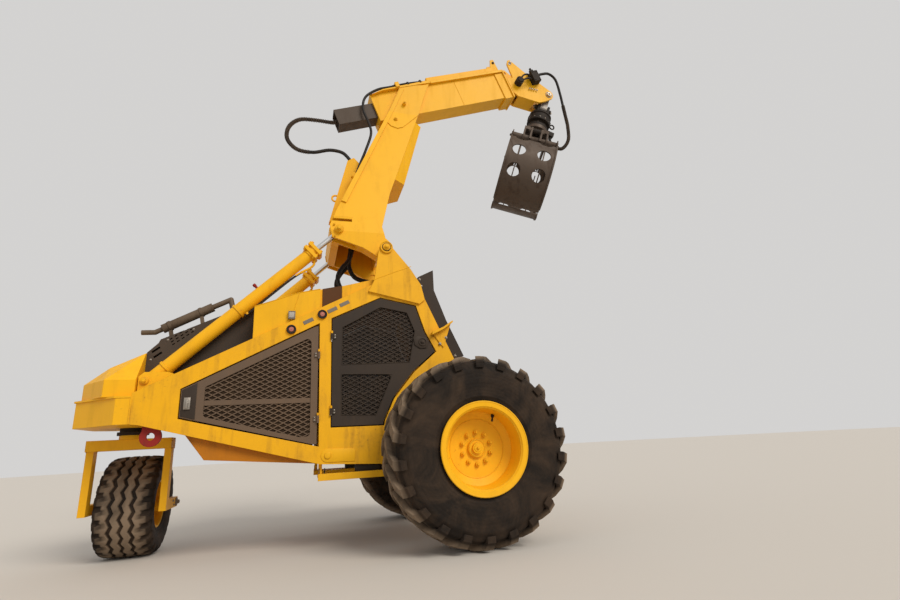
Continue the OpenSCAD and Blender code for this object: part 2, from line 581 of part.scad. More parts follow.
module yz(pts, x0, x1) translate([x0, 0, 0]) rotate([90, 0, 90])
  linear_extrude(height = x1 - x0) polygon(pts);
module bar_t(y, z, r, x0, x1) translate([x0, y, z]) rotate([0, 90, 0]) cylinder(r = r, h = x1 - x0);
module grapple_frame() color(steel) place() turned() difference() {
  union() {
    translate([0, 0, -650]) cylinder(r = 150, h = 49);
    box([-frame_x - frame_t2, -110, -700], [frame_x + frame_t2, 110, -650]);
    for (s = [-1, 1]) {
      yz([[-108, -699], [-300, -950], [-240, -1020], [240, -1020], [300, -950], [108, -699]],
        s * (frame_x + frame_t2 / 2) - frame_t2 / 2, s * (frame_x + frame_t2 / 2) + frame_t2 / 2);
      for (t = [-1, 1]) bar_t(t * jaw_p[0], jaw_p[1], 75, s * (frame_x + frame_t2 / 2) - frame_t2 / 2,
        s * (frame_x + frame_t2 / 2) + frame_t2 / 2);
    }
  }
  for (s = [-1, 1]) bar_t(s * jaw_p[0], jaw_p[1], tube_r + fit, -400, 400);
}
module ring_arc(r0, r1, a0, a1, x0, x1) translate([x0, 0, jaw_c]) rotate([0, 90, 0])
  rotate([0, 0, a0]) rotate_extrude(angle = a1 - a0) translate([r0, 0]) square([r1 - r0, x1 - x0]);
jaw_a = [210, 357];
tube_r = 50;
// holes: turn round the jaw in degrees; their sideways place is hole_x
jaw_holes = [228, 264, 298];
hole_x = 165;
module jaw(pin_rad) {
  difference() {
    ring_arc(jaw_r - 16, jaw_r, jaw_a[0], jaw_a[1], 8 - jaw_w / 2, jaw_w / 2 - 8);
    for (s = [-1, 1]) bar_t(-jaw_p[0], jaw_p[1], 82, s * (frame_x + frame_t2 / 2) - frame_t2 / 2 - 7,
      s * (frame_x + frame_t2 / 2) + frame_t2 / 2 + 7);
    for (a = jaw_holes, s = [-1, 1]) translate([s * hole_x, 0, jaw_c]) rotate([a, 0, 0]) rotate([180, 0, 0])
      cylinder(r = 88, h = jaw_r + 50);
  }
  bar_t(-jaw_p[0], jaw_p[1], tube_r, 8 - jaw_w / 2, jaw_w / 2 - 8);
  for (s = [-1, 1]) {
    ring_arc(jaw_r - 60, jaw_r + 12, jaw_a[0] + 4, jaw_a[1] - 8, s * (jaw_w / 2 - 10) - 10,
      s * (jaw_w / 2 - 10) + 10);
    bar_t(-jaw_p[0], jaw_p[1], 78, s * (jaw_w / 2 - 10) - 6, s * (jaw_w / 2 - 10) + 6);
    ring_arc(jaw_r - 58, jaw_r - 15, jaw_a[0] + 14, jaw_a[1] - 16, s * hole_x - 7, s * hole_x + 7);
    yz([[-jaw_p[0] - 50, jaw_p[1] - 60], [-jaw_p[0] + 40, jaw_p[1]],
      [-jaw_p[0] + jaw_lug[0] + 35, jaw_p[1] + jaw_lug[1] + 35],
      [-jaw_p[0] + jaw_lug[0] - 35, jaw_p[1] + jaw_lug[1] + 35],
      [-jaw_p[0] - 100, jaw_p[1] - 60]], s * 70 - 12, s * 70 + 12);
  }
  bar_t(lug_a[0], lug_a[1], pin_rad, -90, 90);
}
lug_a = [-jaw_p[0] + jaw_lug[0], jaw_p[1] + jaw_lug[1]];
gpin_r = 20;
module jaw_near() color(steel) place() turned() jaw(gpin_r);
// the far pin is thinner, because the rod's eye may drift a little from it
module jaw_far() color(steel) place() turned() mirror([0, 1, 0]) jaw(gpin_r - 3);
gc_r = 42;
grod_r = 25;
module along_t(d, l, r) translate([0, lug_a[0] + d, lug_a[1]]) rotate([-90, 0, 0]) cylinder(r = r, h = l);
module grapple_barrel() color(dark) place() turned() difference() {
  union() {
    bar_t(lug_a[0], lug_a[1], 36, -50, 50);
    along_t(25, 290, gc_r);
  }
  bar_t(lug_a[0], lug_a[1], gpin_r + fit, -60, 60);
  along_t(50, 290, grod_r + fit);
}
module grapple_rod() color(steel) place() turned() {
  along_t(290, -2 * lug_a[0] - 310, grod_r);
  difference() {
    bar_t(-lug_a[0], lug_a[1], 34, -50, 50);
    bar_t(-lug_a[0], lug_a[1], gpin_r + 2, -60, 60);
  }
}

// hoses: a tube through its route's points, with k rings from one point to the next; it leaves and
// arrives along ways, so that its ends lie flat on their seats
function spline(a, b, c, d, t) = 0.5 * ((2 * b) + (c - a) * t + (2 * a - 5 * b + 4 * c - d) * t * t
  + (3 * b - a - 3 * c + d) * t * t * t);
function smooth(p, k) = concat([for (i = [0 : len(p) - 2], j = [0 : k - 1])
  spline(p[max(i - 1, 0)], p[i], p[i + 1], p[min(i + 2, len(p) - 1)], j / k)], [p[len(p) - 1]]);
function unit(v) = v / norm(v);
module hose(p, r, k, ways) {
  q = smooth(p, k);
  n = len(q);
  m = 8;
  ring = [for (i = [0 : n - 1])
    let (t = i == 0 ? ways[0] : i == n - 1 ? ways[1] : unit(q[i + 1] - q[i - 1]),
      u = unit(cross([0, 1, 0], t)), v = cross(t, u)) for (j = [0 : m - 1])
      q[i] + r * cos(360 / m * j) * u + r * sin(360 / m * j) * v];
  polyhedron(ring, concat([[for (j = [m - 1 : -1 : 0]) j]], [[for (j = [0 : m - 1]) (n - 1) * m + j]],
    [for (i = [0 : n - 2], j = [0 : m - 1]) [i * m + j, i * m + (j + 1) % m, (i + 1) * m + j]],
    [for (i = [0 : n - 2], j = [0 : m - 1])
      [i * m + (j + 1) % m, (i + 1) * m + (j + 1) % m, (i + 1) * m + j]]));
}
// a point given in the boom's frame or in the hanging load end's frame
function on_boom(q) = [boom_o[0] + q[0] * cos(boom_rise) - q[2] * sin(boom_rise), q[1],
  boom_o[1] + q[0] * sin(boom_rise) + q[2] * cos(boom_rise)];
function on_hang(q) = on_boom([pin_s[0], 0, pin_s[1]]) + [q[0] * cos(hang_deg) + q[2] * sin(hang_deg),
  q[1], q[2] * cos(hang_deg) - q[0] * sin(hang_deg)];
boom_way = [cos(boom_rise), 0, sin(boom_rise)];
hang_way = [sin(hang_deg), 0, cos(hang_deg)];
// a seat is a block's edge seen from the side: the hose ends at its middle, square to it, and
// short of it by touch where the block is on another moving piece
touch = 0.1;
tail_seat = [[-1012, 4240], [-936, 4290]];
knee_seat = [[-956, 4015], [-880, 3987]];
loop_seat = [[-1064, 2507], [-1016, 2543]];
function seat_way(s) = unit([s[1][1] - s[0][1], 0, s[0][0] - s[1][0]]);
function seat_at(s, y, off = 0) = [(s[0][0] + s[1][0]) / 2, y, (s[0][1] + s[1][1]) / 2]
  - off * seat_way(s);
// routes between the ends: x, y, z, written with the drive axle at zero
tail_route = concat([on_boom([-1000 - touch, 0, 170])], [[-1200, 0, 4788], [-1400, 0, 4791], [-1590, 0, 4770],
  [-1710, 0, 4650], [-1725, 0, 4480], [-1610, 0, 4350], [-1420, 0, 4332], [-1230, 0, 4388],
  [-1085, 0, 4378], [-1010, 0, 4320]], [seat_at(tail_seat, 0)]);
knee_route = concat([on_boom([-160, -140, 442])], [[-500, -140, 5333], [-650, -140, 5268],
  [-800, -140, 5130], [-832, -140, 4950], [-765, -140, 4760], [-735, -142, 4600], [-800, -146, 4360],
  [-875, -150, 4140]], [seat_at(knee_seat, -150)]);
head_route = concat([on_boom([2005, -165, 230])], [[1780, -162, 5975], [1900, -152, 6008],
  [2010, -135, 5935], [2070, -110, 5720], [2105, -95, 5480], [2150, -70, 5230], [2145, -45, 4990],
  [2030, -20, 4842], [1895, -8, 4885], [1865, 0, 4978]], [on_hang([228, 0, -598 - touch])]);
foot_loop = concat([[-950, -110, 3250], [-952, -110, 3120], [-990, -110, 2930], [-1075, -110, 2812],
  [-1120, -110, 2710], [-1100, -110, 2600]], [seat_at(loop_seat, -110, touch)]);
foot_mid = [[-950, 0, 3250], [-975, 0, 3050], [-985, 0, 2880], [-930, 0, 2755], [-820, 0, 2705],
  [-690 - touch, 0, 2690]];
down = [0, 0, -1];
module hose_tail() color(tyre_c) place() hose(tail_route, 22, 2, [-boom_way, seat_way(tail_seat)]);
module hose_knee() color(tyre_c) place() hose(knee_route, 16, 2, [-boom_way, seat_way(knee_seat)]);
module hose_head() color(tyre_c) place() hose(head_route, 20, 2, [boom_way, hang_way]);
module hose_foot() color(tyre_c) place() {
  both() hose(foot_loop, 16, 1, [down, seat_way(loop_seat)]);
  hose(foot_mid, 16, 1, [down, [1, 0, 0]]);
}

side_frames();
tower_ears();
cross_members();
cylinder_brackets();
belly_plate();
tail_box();
tail_hood();
engine_hood();
engine_block();
muffler();
tank_housing();
side_lamps();
cab_roof();
cab_floor();
cab_furniture();
seat_cushion();
front_guard();
final_drives();
swivel_bearing();
tow_ring();
side_steps();
rim_left();
tyre_left();
rim_right();
tyre_right();
caster_yoke();
caster_rim();
caster_tyre();
engine_door_left();
engine_door_right();
cab_door_left();
cab_door_right();
boom_riser();
outer_boom();
inner_boom();
boom_head();
head_valves();
lift_barrel_left();
lift_barrel_right();
lift_rod_left();
lift_rod_right();
crane_link();
rotator();
grapple_frame();
jaw_near();
jaw_far();
grapple_barrel();
grapple_rod();
hose_tail();
hose_knee();
hose_head();
hose_foot();
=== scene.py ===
"""Looks of a three-wheeled log loader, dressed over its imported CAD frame.

Metres. The row's frame has +X towards the grapple, +Y to the machine's left and +Z up.
"""
import json
import logging
import math
from dataclasses import dataclass
from enum import Enum

import bmesh
import bpy
from mathutils import Matrix, Vector


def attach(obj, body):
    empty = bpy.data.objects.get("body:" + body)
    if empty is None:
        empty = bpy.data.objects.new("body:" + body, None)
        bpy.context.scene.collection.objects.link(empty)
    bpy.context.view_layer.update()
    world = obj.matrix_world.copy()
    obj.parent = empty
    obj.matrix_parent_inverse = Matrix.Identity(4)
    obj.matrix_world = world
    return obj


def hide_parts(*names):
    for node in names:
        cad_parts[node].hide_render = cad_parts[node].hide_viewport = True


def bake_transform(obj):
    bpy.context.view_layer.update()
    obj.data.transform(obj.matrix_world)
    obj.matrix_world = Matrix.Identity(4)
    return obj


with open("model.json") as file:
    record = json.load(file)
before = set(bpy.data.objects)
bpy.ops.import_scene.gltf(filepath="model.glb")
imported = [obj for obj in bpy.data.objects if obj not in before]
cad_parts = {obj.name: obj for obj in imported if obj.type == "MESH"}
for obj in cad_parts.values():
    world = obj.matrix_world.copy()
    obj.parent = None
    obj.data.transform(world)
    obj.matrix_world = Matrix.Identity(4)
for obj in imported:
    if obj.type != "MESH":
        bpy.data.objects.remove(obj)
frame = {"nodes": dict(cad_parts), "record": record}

LOG = logging.getLogger("log_loader")
Point = tuple[float, float, float]
Colour = tuple[float, float, float]
Outline = tuple[tuple[float, float], ...]  # corners in x and z, with the drive axle at x = 0
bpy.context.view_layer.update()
AXLE_X = 0.715  # the drive axle's place along the row's x axis
SIDES = (-1, 1)  # near (right) side, far (left) side
SIDE_NAMES = {-1: "right", 1: "left"}


class Axis(Enum):
    """The row's axes, as unit vectors."""

    X = (1.0, 0.0, 0.0)
    Y = (0.0, 1.0, 0.0)
    Z = (0.0, 0.0, 1.0)

    def along(self, length: float = 1.0) -> Vector:
        """Give a vector of a length along this axis."""
        return Vector(self.value) * length


def at(x: float, y: float, z: float) -> Vector:
    """Give the row point of a place that is written with the drive axle at x = 0."""
    return Vector((x + AXLE_X, y, z))


@dataclass(frozen=True)
class Tilted:
    """A frame turned about the y axis, such as the boom's or the hanging grapple's."""

    origin: Vector
    degrees: float

    def point(self, along: float, across: float, up: float) -> Vector:
        """Give the row point of a place that is written along this frame's x, y and z axes."""
        return self.origin + self.turn() @ Vector((along, across, up))

    def turn(self) -> Matrix:
        """Give the turn of this frame as a 3 by 3 matrix."""
        return Matrix.Rotation(math.radians(-self.degrees), 3, Axis.Y.name)


BOOM = Tilted(at(-0.112, 0.0, 5.008), 20.5)
LINK_PIN = BOOM.point(2.088, 0.0, -0.081)
HANG = Tilted(LINK_PIN, -20.0)
CYLINDER_FOOT = at(-2.790, 0.0, 1.523)
CYLINDER = Tilted(CYLINDER_FOOT, 43.886)


# Meshes

def around(count: int, radius: float, start: float = 0.0) -> list[tuple[float, float]]:
    """Give places spread evenly round a circle.

    Args:
        count: how many.
        radius: the circle's radius.
        start: degrees of the first.

    Returns:
        The two coordinates of each, from the circle's middle.
    """
    turns = [math.radians(360.0 / count * i + start) for i in range(count)]
    return [(radius * math.cos(turn), radius * math.sin(turn)) for turn in turns]


def facing(direction: Vector) -> Matrix:
    """Give the 4 by 4 turn that lays the z axis along a direction."""
    return direction.normalized().to_track_quat("Z", "Y").to_matrix().to_4x4()


class Piece:
    """A mesh that grows by bmesh operators, then becomes one finished piece."""

    def __init__(self, name: str) -> None:
        """Start an empty piece with its plain name."""
        self.name = name
        self.bm = bmesh.new()

    def block(self, low: Point, high: Point, place: Matrix | None = None) -> None:
        """Add a box.

        Args:
            low: its lowest corner.
            high: its highest corner.
            place: a transform laid on it afterwards.
        """
        a, b = Vector(low), Vector(high)
        size = Matrix.Diagonal((*(b - a), 1.0))
        matrix = Matrix.Translation((a + b) / 2) @ size
        bmesh.ops.create_cube(self.bm, size=1.0, matrix=(place @ matrix if place else matrix))

    def box(self, first: Point, second: Point) -> None:
        """Add a box between two opposite corners that have the drive axle at x = 0.

        Args:
            first: one corner.
            second: the corner opposite to it.
        """
        pairs = list(zip(at(*first), at(*second)))
        self.block(tuple(map(min, pairs)), tuple(map(max, pairs)))

    def drum(self, start: Vector, end: Vector, radius: float, tip: float | None = None,
             sides: int = 24) -> None:
        """Add a closed cylinder or cone between two points.

        Args:
            start: middle of its first face.
            end: middle of its last face.
            radius: radius at the start.
            tip: radius at the end, the same if left out.
            sides: number of sides.
        """
        matrix = Matrix.Translation((start + end) / 2) @ facing(end - start)
        far = radius if tip is None else tip
        bmesh.ops.create_cone(self.bm, cap_ends=True, segments=sides, radius1=radius, radius2=far,
                              depth=(end - start).length, matrix=matrix)

    def bolt(self, centre: Vector, direction: Vector, across: float, washer: bool = True) -> None:
        """Add a hexagon head on a washer.

        Args:
            centre: where it meets the plate.
            direction: away from the plate.
            across: width of the head.
            washer: whether it has one.
        """
        out = direction.normalized()
        foot = centre - out * 0.002
        if washer:
            self.drum(foot, centre + out * across * 0.14, across * 0.82, sides=20)
        self.drum(foot, centre + out * across * 0.62, across * 0.56, sides=6)
        self.drum(centre + out * across * 0.6, centre + out * across * 0.72, across * 0.44, across * 0.36, 6)

    def ring(self, centre: Vector, axis: Vector, radius: float, tube: float, steps: int = 32) -> None:
        """Add a torus by spinning a circle.

        Args:
            centre: its middle.
            axis: the axis it goes round.
            radius: from the middle to the tube's line.
            tube: radius of the tube.
            steps: sections round it.
        """
        side = facing(axis) @ Axis.X.along()
        turn = Matrix.Translation(centre + side * radius) @ facing(axis.cross(side))
        made = bmesh.ops.create_circle(self.bm, cap_ends=False, segments=10, radius=tube, matrix=turn)
        edges = list({e for v in made["verts"] for e in v.link_edges})
        bmesh.ops.spin(self.bm, geom=made["verts"] + edges, cent=centre, axis=axis, angle=math.tau,
                       steps=steps, use_merge=True)

    def plate(self, outline: Outline, y0: float, y1: float) -> None:
        """Add a slab from an outline.

        Args:
            outline: its corners, round once.
            y0: its first face.
            y1: its last face.
        """
        verts = [self.bm.verts.new(at(x, y0, z)) for x, z in outline]
        face = self.bm.faces.new(verts)
        grown = bmesh.ops.extrude_face_region(self.bm, geom=[face])
        moved = [g for g in grown["geom"] if isinstance(g, bmesh.types.BMVert)]
        bmesh.ops.translate(self.bm, vec=(0, y1 - y0, 0), verts=moved)

    def sweep(self, path: list[Vector], radius: float, sides: int = 12) -> None:
        """Add a pipe along a path, closed at both ends.

        Args:
            path: the points of its line.
            radius: its radius.
            sides: sides of its section.
        """
        last = len(path) - 1
        ring: list[bmesh.types.BMVert] = []
        for i, point in enumerate(path):
            line = path[min(i + 1, last)] - path[max(i - 1, 0)]
            if not ring:
                made = bmesh.ops.create_circle(self.bm, cap_ends=True, segments=sides, radius=radius,
                                               matrix=Matrix.Translation(point) @ facing(line))
                ring, before = made["verts"], line
                edges = list({e for v in ring for e in v.link_edges})
                continue
            grown = bmesh.ops.extrude_edge_only(self.bm, edges=edges)["geom"]
            ring = [g for g in grown if isinstance(g, bmesh.types.BMVert)]
            edges = [g for g in grown if isinstance(g, bmesh.types.BMEdge)]
            turn = before.rotation_difference(line).to_matrix().to_4x4()
            bmesh.ops.transform(self.bm, verts=ring, matrix=(
                Matrix.Translation(point) @ turn @ Matrix.Translation(-path[i - 1])))
            before = line
        bmesh.ops.contextual_create(self.bm, geom=edges)

    def bevelled(self, width: float, segments: int = 2, sharp: float = 35.0) -> None:
        """Round the sharp edges.

        Args:
            width: width of the rounding.
            segments: rows of faces in it.
            sharp: edges that turn more than this many degrees are rounded.
        """
        self.bm.normal_update()
        edges = [e for e in self.bm.edges if len(e.link_faces) == 2
                 and e.calc_face_angle(0.0) > math.radians(sharp)]
        bmesh.ops.bevel(self.bm, geom=edges, offset=width, segments=segments, affect="EDGES",
                        profile=0.5, material=-1, clamp_overlap=True)

    def finish(self, body: str | None, material: bpy.types.Material, slot: str,
               replaces: tuple[str, ...] = (), smooth: float = 35.0) -> bpy.types.Object:
        """Turn the mesh into an object that rides on a body.

        Args:
            body: the CAD body it moves with, or None for a piece that spans two bodies and rides on neither.
            material: its finish.
            slot: the record's material slot; not used.
            replaces: CAD nodes that it stands for.
            smooth: faces that meet below this angle shade as one.

        Returns:
            The object.
        """
        bmesh.ops.recalc_face_normals(self.bm, faces=self.bm.faces[:])
        mesh = bpy.data.meshes.new(self.name)
        self.bm.to_mesh(mesh)
        self.bm.free()
        mesh.materials.append(material)
        mesh.shade_smooth()
        mesh.set_sharp_from_angle(angle=math.radians(smooth))
        piece = bpy.data.objects.new(self.name, mesh)
        bpy.context.scene.collection.objects.link(piece)
        if body:
            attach(piece, body)
        if replaces:
            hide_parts(*replaces)
        LOG.info("piece %s on %s, %d faces", self.name, body, len(mesh.polygons))
        return piece


def smooth_line(points: list[Vector], steps: int = 5) -> list[Vector]:
    """Run a smooth curve through points.

    Args:
        points: the route's points.
        steps: pieces between two points.

    Returns:
        The curve's points.
    """
    line: list[Vector] = []
    last = len(points) - 1
    for i in range(last):
        a, b, c, d = (points[max(i - 1, 0)], points[i], points[i + 1], points[min(i + 2, last)])
        for j in range(steps):
            t = j / steps
            line.append(0.5 * ((2 * b) + (c - a) * t + (2 * a - 5 * b + 4 * c - d) * t * t
                               + (3 * b - a - 3 * c + d) * t ** 3))
    return line + [points[last]]


# Finishes

class Tree:
    """Writes nodes into one node tree."""

    def __init__(self, tree: bpy.types.NodeTree) -> None:
        """Keep the tree that is written to."""
        self.tree = tree

    def add(self, kind: str, inputs: dict | None = None, **settings: object) -> bpy.types.Node:
        """Add a node.

        Args:
            kind: the node's type name, without its ShaderNode part.
            inputs: values or sockets for its inputs, by name or number.
            settings: its other properties.

        Returns:
            The node.
        """
        prefix = "" if kind.startswith(("NodeGroup", "ShaderNode")) else "ShaderNode"
        node = self.tree.nodes.new(prefix + kind)
        for key, value in settings.items():
            setattr(node, key, value)
        for key, value in (inputs or {}).items():
            if isinstance(value, bpy.types.NodeSocket):
                self.tree.links.new(value, node.inputs[key])
            else:
                node.inputs[key].default_value = value
        return node

    def mix(self, share: object, first: object, second: object, blend: str = "MIX") -> bpy.types.NodeSocket:
        """Mix two colours.

        Args:
            share: how much of the second, a number or socket.
            first: colour or socket.
            second: colour or socket.
            blend: how they mix.

        Returns:
            The mixed colour's socket.
        """
        a, b = (c if isinstance(c, bpy.types.NodeSocket) else (*c, 1.0) for c in (first, second))
        return self.add("Mix", {0: share, 6: a, 7: b}, data_type="RGBA", blend_type=blend).outputs[2]

    def maths(self, how: str, first: object, second: object = 0.0,
              clamp: bool = False) -> bpy.types.NodeSocket:
        """Work on two values.

        Args:
            how: the operation.
            first: number or socket.
            second: number or socket.
            clamp: whether it is kept from 0 to 1.

        Returns:
            The result's socket.
        """
        return self.add("Math", {0: first, 1: second}, operation=how, use_clamp=clamp).outputs[0]

    def span(self, value: object, low: float, high: float, to_low: float = 0.0,
             to_high: float = 1.0) -> bpy.types.NodeSocket:
        """Map a value from one range to another, held at both ends.

        Args:
            value: number or socket.
            low: start of its range.
            high: end of its range.
            to_low: result at the start.
            to_high: result at the end.

        Returns:
            The result's socket.
        """
        return self.add("MapRange", {0: value, 1: low, 2: high, 3: to_low, 4: to_high}).outputs[0]

    def noise(self, where: object, scale: float, detail: float = 4.0, rough: float = 0.55,
              warp: float = 0.0) -> bpy.types.NodeSocket:
        """Add a noise.

        Args:
            where: coordinates.
            scale: how fine it is.
            detail: its layers.
            rough: weight of its finer layers.
            warp: how far it is distorted.

        Returns:
            The noise's value.
        """
        return self.add("TexNoise", {"Vector": where, "Scale": scale, "Detail": detail, "Roughness": rough,
                                     "Distortion": warp}).outputs["Fac"]


def start_material(name: str) -> tuple[bpy.types.Material, Tree, bpy.types.Node]:
    """Start a material.

    Args:
        name: its plain name.

    Returns:
        The material, its tree's writer and its shader.
    """
    mat = bpy.data.materials.new(name)
    mat.use_nodes = True
    return mat, Tree(mat.node_tree), mat.node_tree.nodes["Principled BSDF"]


def weathering_group() -> bpy.types.NodeTree:
    """Build the effect that all machine finishes share: grime, streaks, chips and worn edges.

    Returns:
        The node group, with masks from 0 to 1.
    """
    group = bpy.data.node_groups.new("weathering", "ShaderNodeTree")
    face = group.interface
    face.new_socket("Place", in_out="INPUT", socket_type="NodeSocketVector")
    for name, value in (("Grime", 0.5), ("Chips", 0.3), ("Edge", 0.004)):
        face.new_socket(name, in_out="INPUT", socket_type="NodeSocketFloat").default_value = value
    for name in ("Cloud", "Grime", "Chips", "Edges"):
        face.new_socket(name, in_out="OUTPUT", socket_type="NodeSocketFloat")
    face.new_socket("Round", in_out="OUTPUT", socket_type="NodeSocketVector")
    tree = Tree(group)
    given = tree.add("NodeGroupInput")
    place = given.outputs["Place"]
    cloud = tree.noise(place, 2.1, 5.0, 0.6)
    fine = tree.noise(place, 34.0, 6.0, 0.68)
    down = tree.add("Mapping", {"Vector": place, "Scale": (7.0, 7.0, 0.9)}).outputs[0]
    streaks = tree.noise(down, 1.6, 5.0, 0.62)
    rounded = tree.add("Bevel", {"Radius": given.outputs["Edge"]}, samples=4).outputs[0]
    flat = tree.add("NewGeometry").outputs["Normal"]
    turn = tree.add("VectorMath", {0: rounded, 1: flat}, operation="DOT_PRODUCT").outputs["Value"]
    edge = tree.span(turn, 0.985, 0.86)
    worn = tree.maths("MULTIPLY", edge, tree.span(tree.noise(place, 9.0, 6.0, 0.7), 0.42, 0.62))
    spots = tree.maths("MULTIPLY", tree.span(fine, 0.63, 0.70), tree.span(cloud, 0.42, 0.66))
    chips = tree.maths("MULTIPLY", spots, given.outputs["Chips"], True)
    thick = tree.maths("ADD", tree.span(cloud, 0.45, 0.75, 0.0, 0.55),
                       tree.span(streaks, 0.50, 0.74, 0.0, 0.6))
    speckled = tree.maths("MULTIPLY", thick, tree.span(fine, 0.30, 0.66, 0.55, 1.0))
    grime = tree.maths("MULTIPLY", speckled, given.outputs["Grime"], True)
    tree.add("NodeGroupOutput", {"Cloud": cloud, "Grime": grime, "Chips": chips, "Edges": worn,
                                 "Round": rounded})
    return group


WEATHERING = weathering_group()


@dataclass(frozen=True)
class Painted:
    """Painted or bare metal that has worked outdoors."""

    name: str
    colour: Colour
    under: Colour = (0.10, 0.055, 0.03)  # what a chip shows
    dirt: Colour = (0.20, 0.115, 0.05)
    roughness: float = 0.42
    metallic: float = 0.0
    grime: float = 0.45
    chips: float = 0.5
    wear: float = 0.6
    low_dirt: float = 0.35  # extra dirt near the ground
    grain: float = 0.0012  # height of its fine grain
    gloss: float = 0.16  # level of its mirror reflection

    def material(self) -> bpy.types.Material:
        """Build the finish.

        Returns:
            The material.
        """
        mat, tree, shader = start_material(self.name)
        place = tree.add("TexCoord").outputs["Object"]
        given = {"Place": place, "Grime": self.grime, "Chips": self.chips}
        effect = tree.add("ShaderNodeGroup", given, node_tree=WEATHERING)
        masks = effect.outputs
        tone = tree.span(masks["Cloud"], 0.3, 0.7, 0.90, 1.06)
        grey = tree.add("CombineColor", {0: tone, 1: tone, 2: tone}).outputs[0]
        base = tree.mix(1.0, self.colour, grey, "MULTIPLY")
        height = tree.add("SeparateXYZ", {0: place}).outputs[2]
        low = tree.span(height, 1.5, 0.2, 0.0, self.low_dirt)
        dirt = tree.maths("ADD", masks["Grime"], tree.maths("MULTIPLY", low, masks["Cloud"]), True)
        base = tree.mix(dirt, base, self.dirt)
        base = tree.mix(masks["Chips"], base, self.under)
        edge = tree.maths("MULTIPLY", masks["Edges"], self.wear)
        base = tree.mix(edge, base, self.under)
        rough = tree.span(dirt, 0.0, 0.6, self.roughness, min(self.roughness + 0.3, 0.95))
        links = mat.node_tree.links
        links.new(base, shader.inputs["Base Color"])
        links.new(rough, shader.inputs["Roughness"])
        shader.inputs["Metallic"].default_value = self.metallic
        shader.inputs["Specular IOR Level"].default_value = self.gloss
        peel = tree.noise(place, 90.0, 3.0)
        height = tree.maths("SUBTRACT", peel, masks["Chips"])
        bump = tree.add("Bump", {"Height": height, "Normal": masks["Round"], "Strength": 0.35,
                                 "Distance": self.grain})
        links.new(bump.outputs[0], shader.inputs["Normal"])
        return mat


@dataclass(frozen=True)
class Tyre:
    """Worn rubber whose tread tips are pale with soil."""

    name: str
    centre: Vector
    across: Point  # 1 on the axes that the radius is measured on
    sole: float  # radius where the tread starts
    rise: float = 0.045  # how much further out it is pale all over
    colour: Colour = (0.014, 0.011, 0.009)
    dust: Colour = (0.060, 0.038, 0.024)
    tips: Colour = (0.235, 0.170, 0.115)

    def material(self) -> bpy.types.Material:
        """Build the finish.

        Returns:
            The material.
        """
        mat, tree, shader = start_material(self.name)
        place = tree.add("TexCoord").outputs["Object"]
        arm = tree.add("Mapping", {"Vector": place, "Location": -self.centre}).outputs[0]
        flat = tree.add("VectorMath", {0: arm, 1: self.across}, operation="MULTIPLY").outputs[0]
        radius = tree.add("VectorMath", {0: flat}, operation="LENGTH").outputs["Value"]
        cloud = tree.noise(place, 3.4, 6.0, 0.65, 0.6)
        fine = tree.noise(place, 48.0, 6.0, 0.7)
        base = tree.mix(tree.span(cloud, 0.40, 0.68, 0.05, 0.85), self.colour, self.dust)
        base = tree.mix(tree.span(fine, 0.56, 0.74, 0.0, 0.35), base, self.dust)
        worn = tree.maths("MULTIPLY", tree.span(radius, self.sole, self.sole + self.rise),
                          tree.span(cloud, 0.30, 0.56, 0.35, 0.95), True)
        base = tree.mix(worn, base, self.tips)
        links = mat.node_tree.links
        links.new(base, shader.inputs["Base Color"])
        links.new(tree.span(fine, 0.3, 0.7, 0.62, 0.9), shader.inputs["Roughness"])
        shader.inputs["Specular IOR Level"].default_value = 0.12
        ribs = tree.maths("MULTIPLY", tree.maths("SINE", tree.maths("MULTIPLY", radius, 210.0)), 0.12)
        height = tree.maths("ADD", tree.noise(place, 16.0, 6.0, 0.7), ribs)
        rounded = tree.add("Bevel", {"Radius": 0.008}, samples=4).outputs[0]
        bump = tree.add("Bump", {"Height": height, "Strength": 0.5, "Distance": 0.006, "Normal": rounded})
        links.new(bump.outputs[0], shader.inputs["Normal"])
        return mat


@dataclass(frozen=True)
class Plain:
    """A soft or smooth finish: hose rubber, vinyl, lamp glass, polished rod, or a dark plate of painted
    shade.
    """

    name: str
    colour: Colour
    dust: Colour
    roughness: float
    metallic: float = 0.0
    dusty: float = 0.3
    scale: float = 60.0
    depth: float = 0.0005
    coat: float = 0.0
    gloss: float = 0.5
    solid: float = 1.0  # below 1 the piece is seen through

    def material(self) -> bpy.types.Material:
        """Build the finish.

        Returns:
            The material.
        """
        mat, tree, shader = start_material(self.name)
        place = tree.add("TexCoord").outputs["Object"]
        cloud = tree.noise(place, 6.0, 5.0, 0.6)
        fine = tree.noise(place, self.scale, 4.0)
        base = tree.mix(tree.span(cloud, 0.4, 0.72, 0.0, self.dusty), self.colour, self.dust)
        links = mat.node_tree.links
        links.new(base, shader.inputs["Base Color"])
        links.new(tree.span(cloud, 0.35, 0.7, self.roughness, min(1.0, self.roughness + 0.25)),
                  shader.inputs["Roughness"])
        shader.inputs["Metallic"].default_value = self.metallic
        shader.inputs["Coat Weight"].default_value = self.coat
        shader.inputs["Specular IOR Level"].default_value = self.gloss
        shader.inputs["Alpha"].default_value = self.solid
        bump = tree.add("Bump", {"Height": fine, "Strength": 0.4, "Distance": self.depth})
        links.new(bump.outputs[0], shader.inputs["Normal"])
        return mat


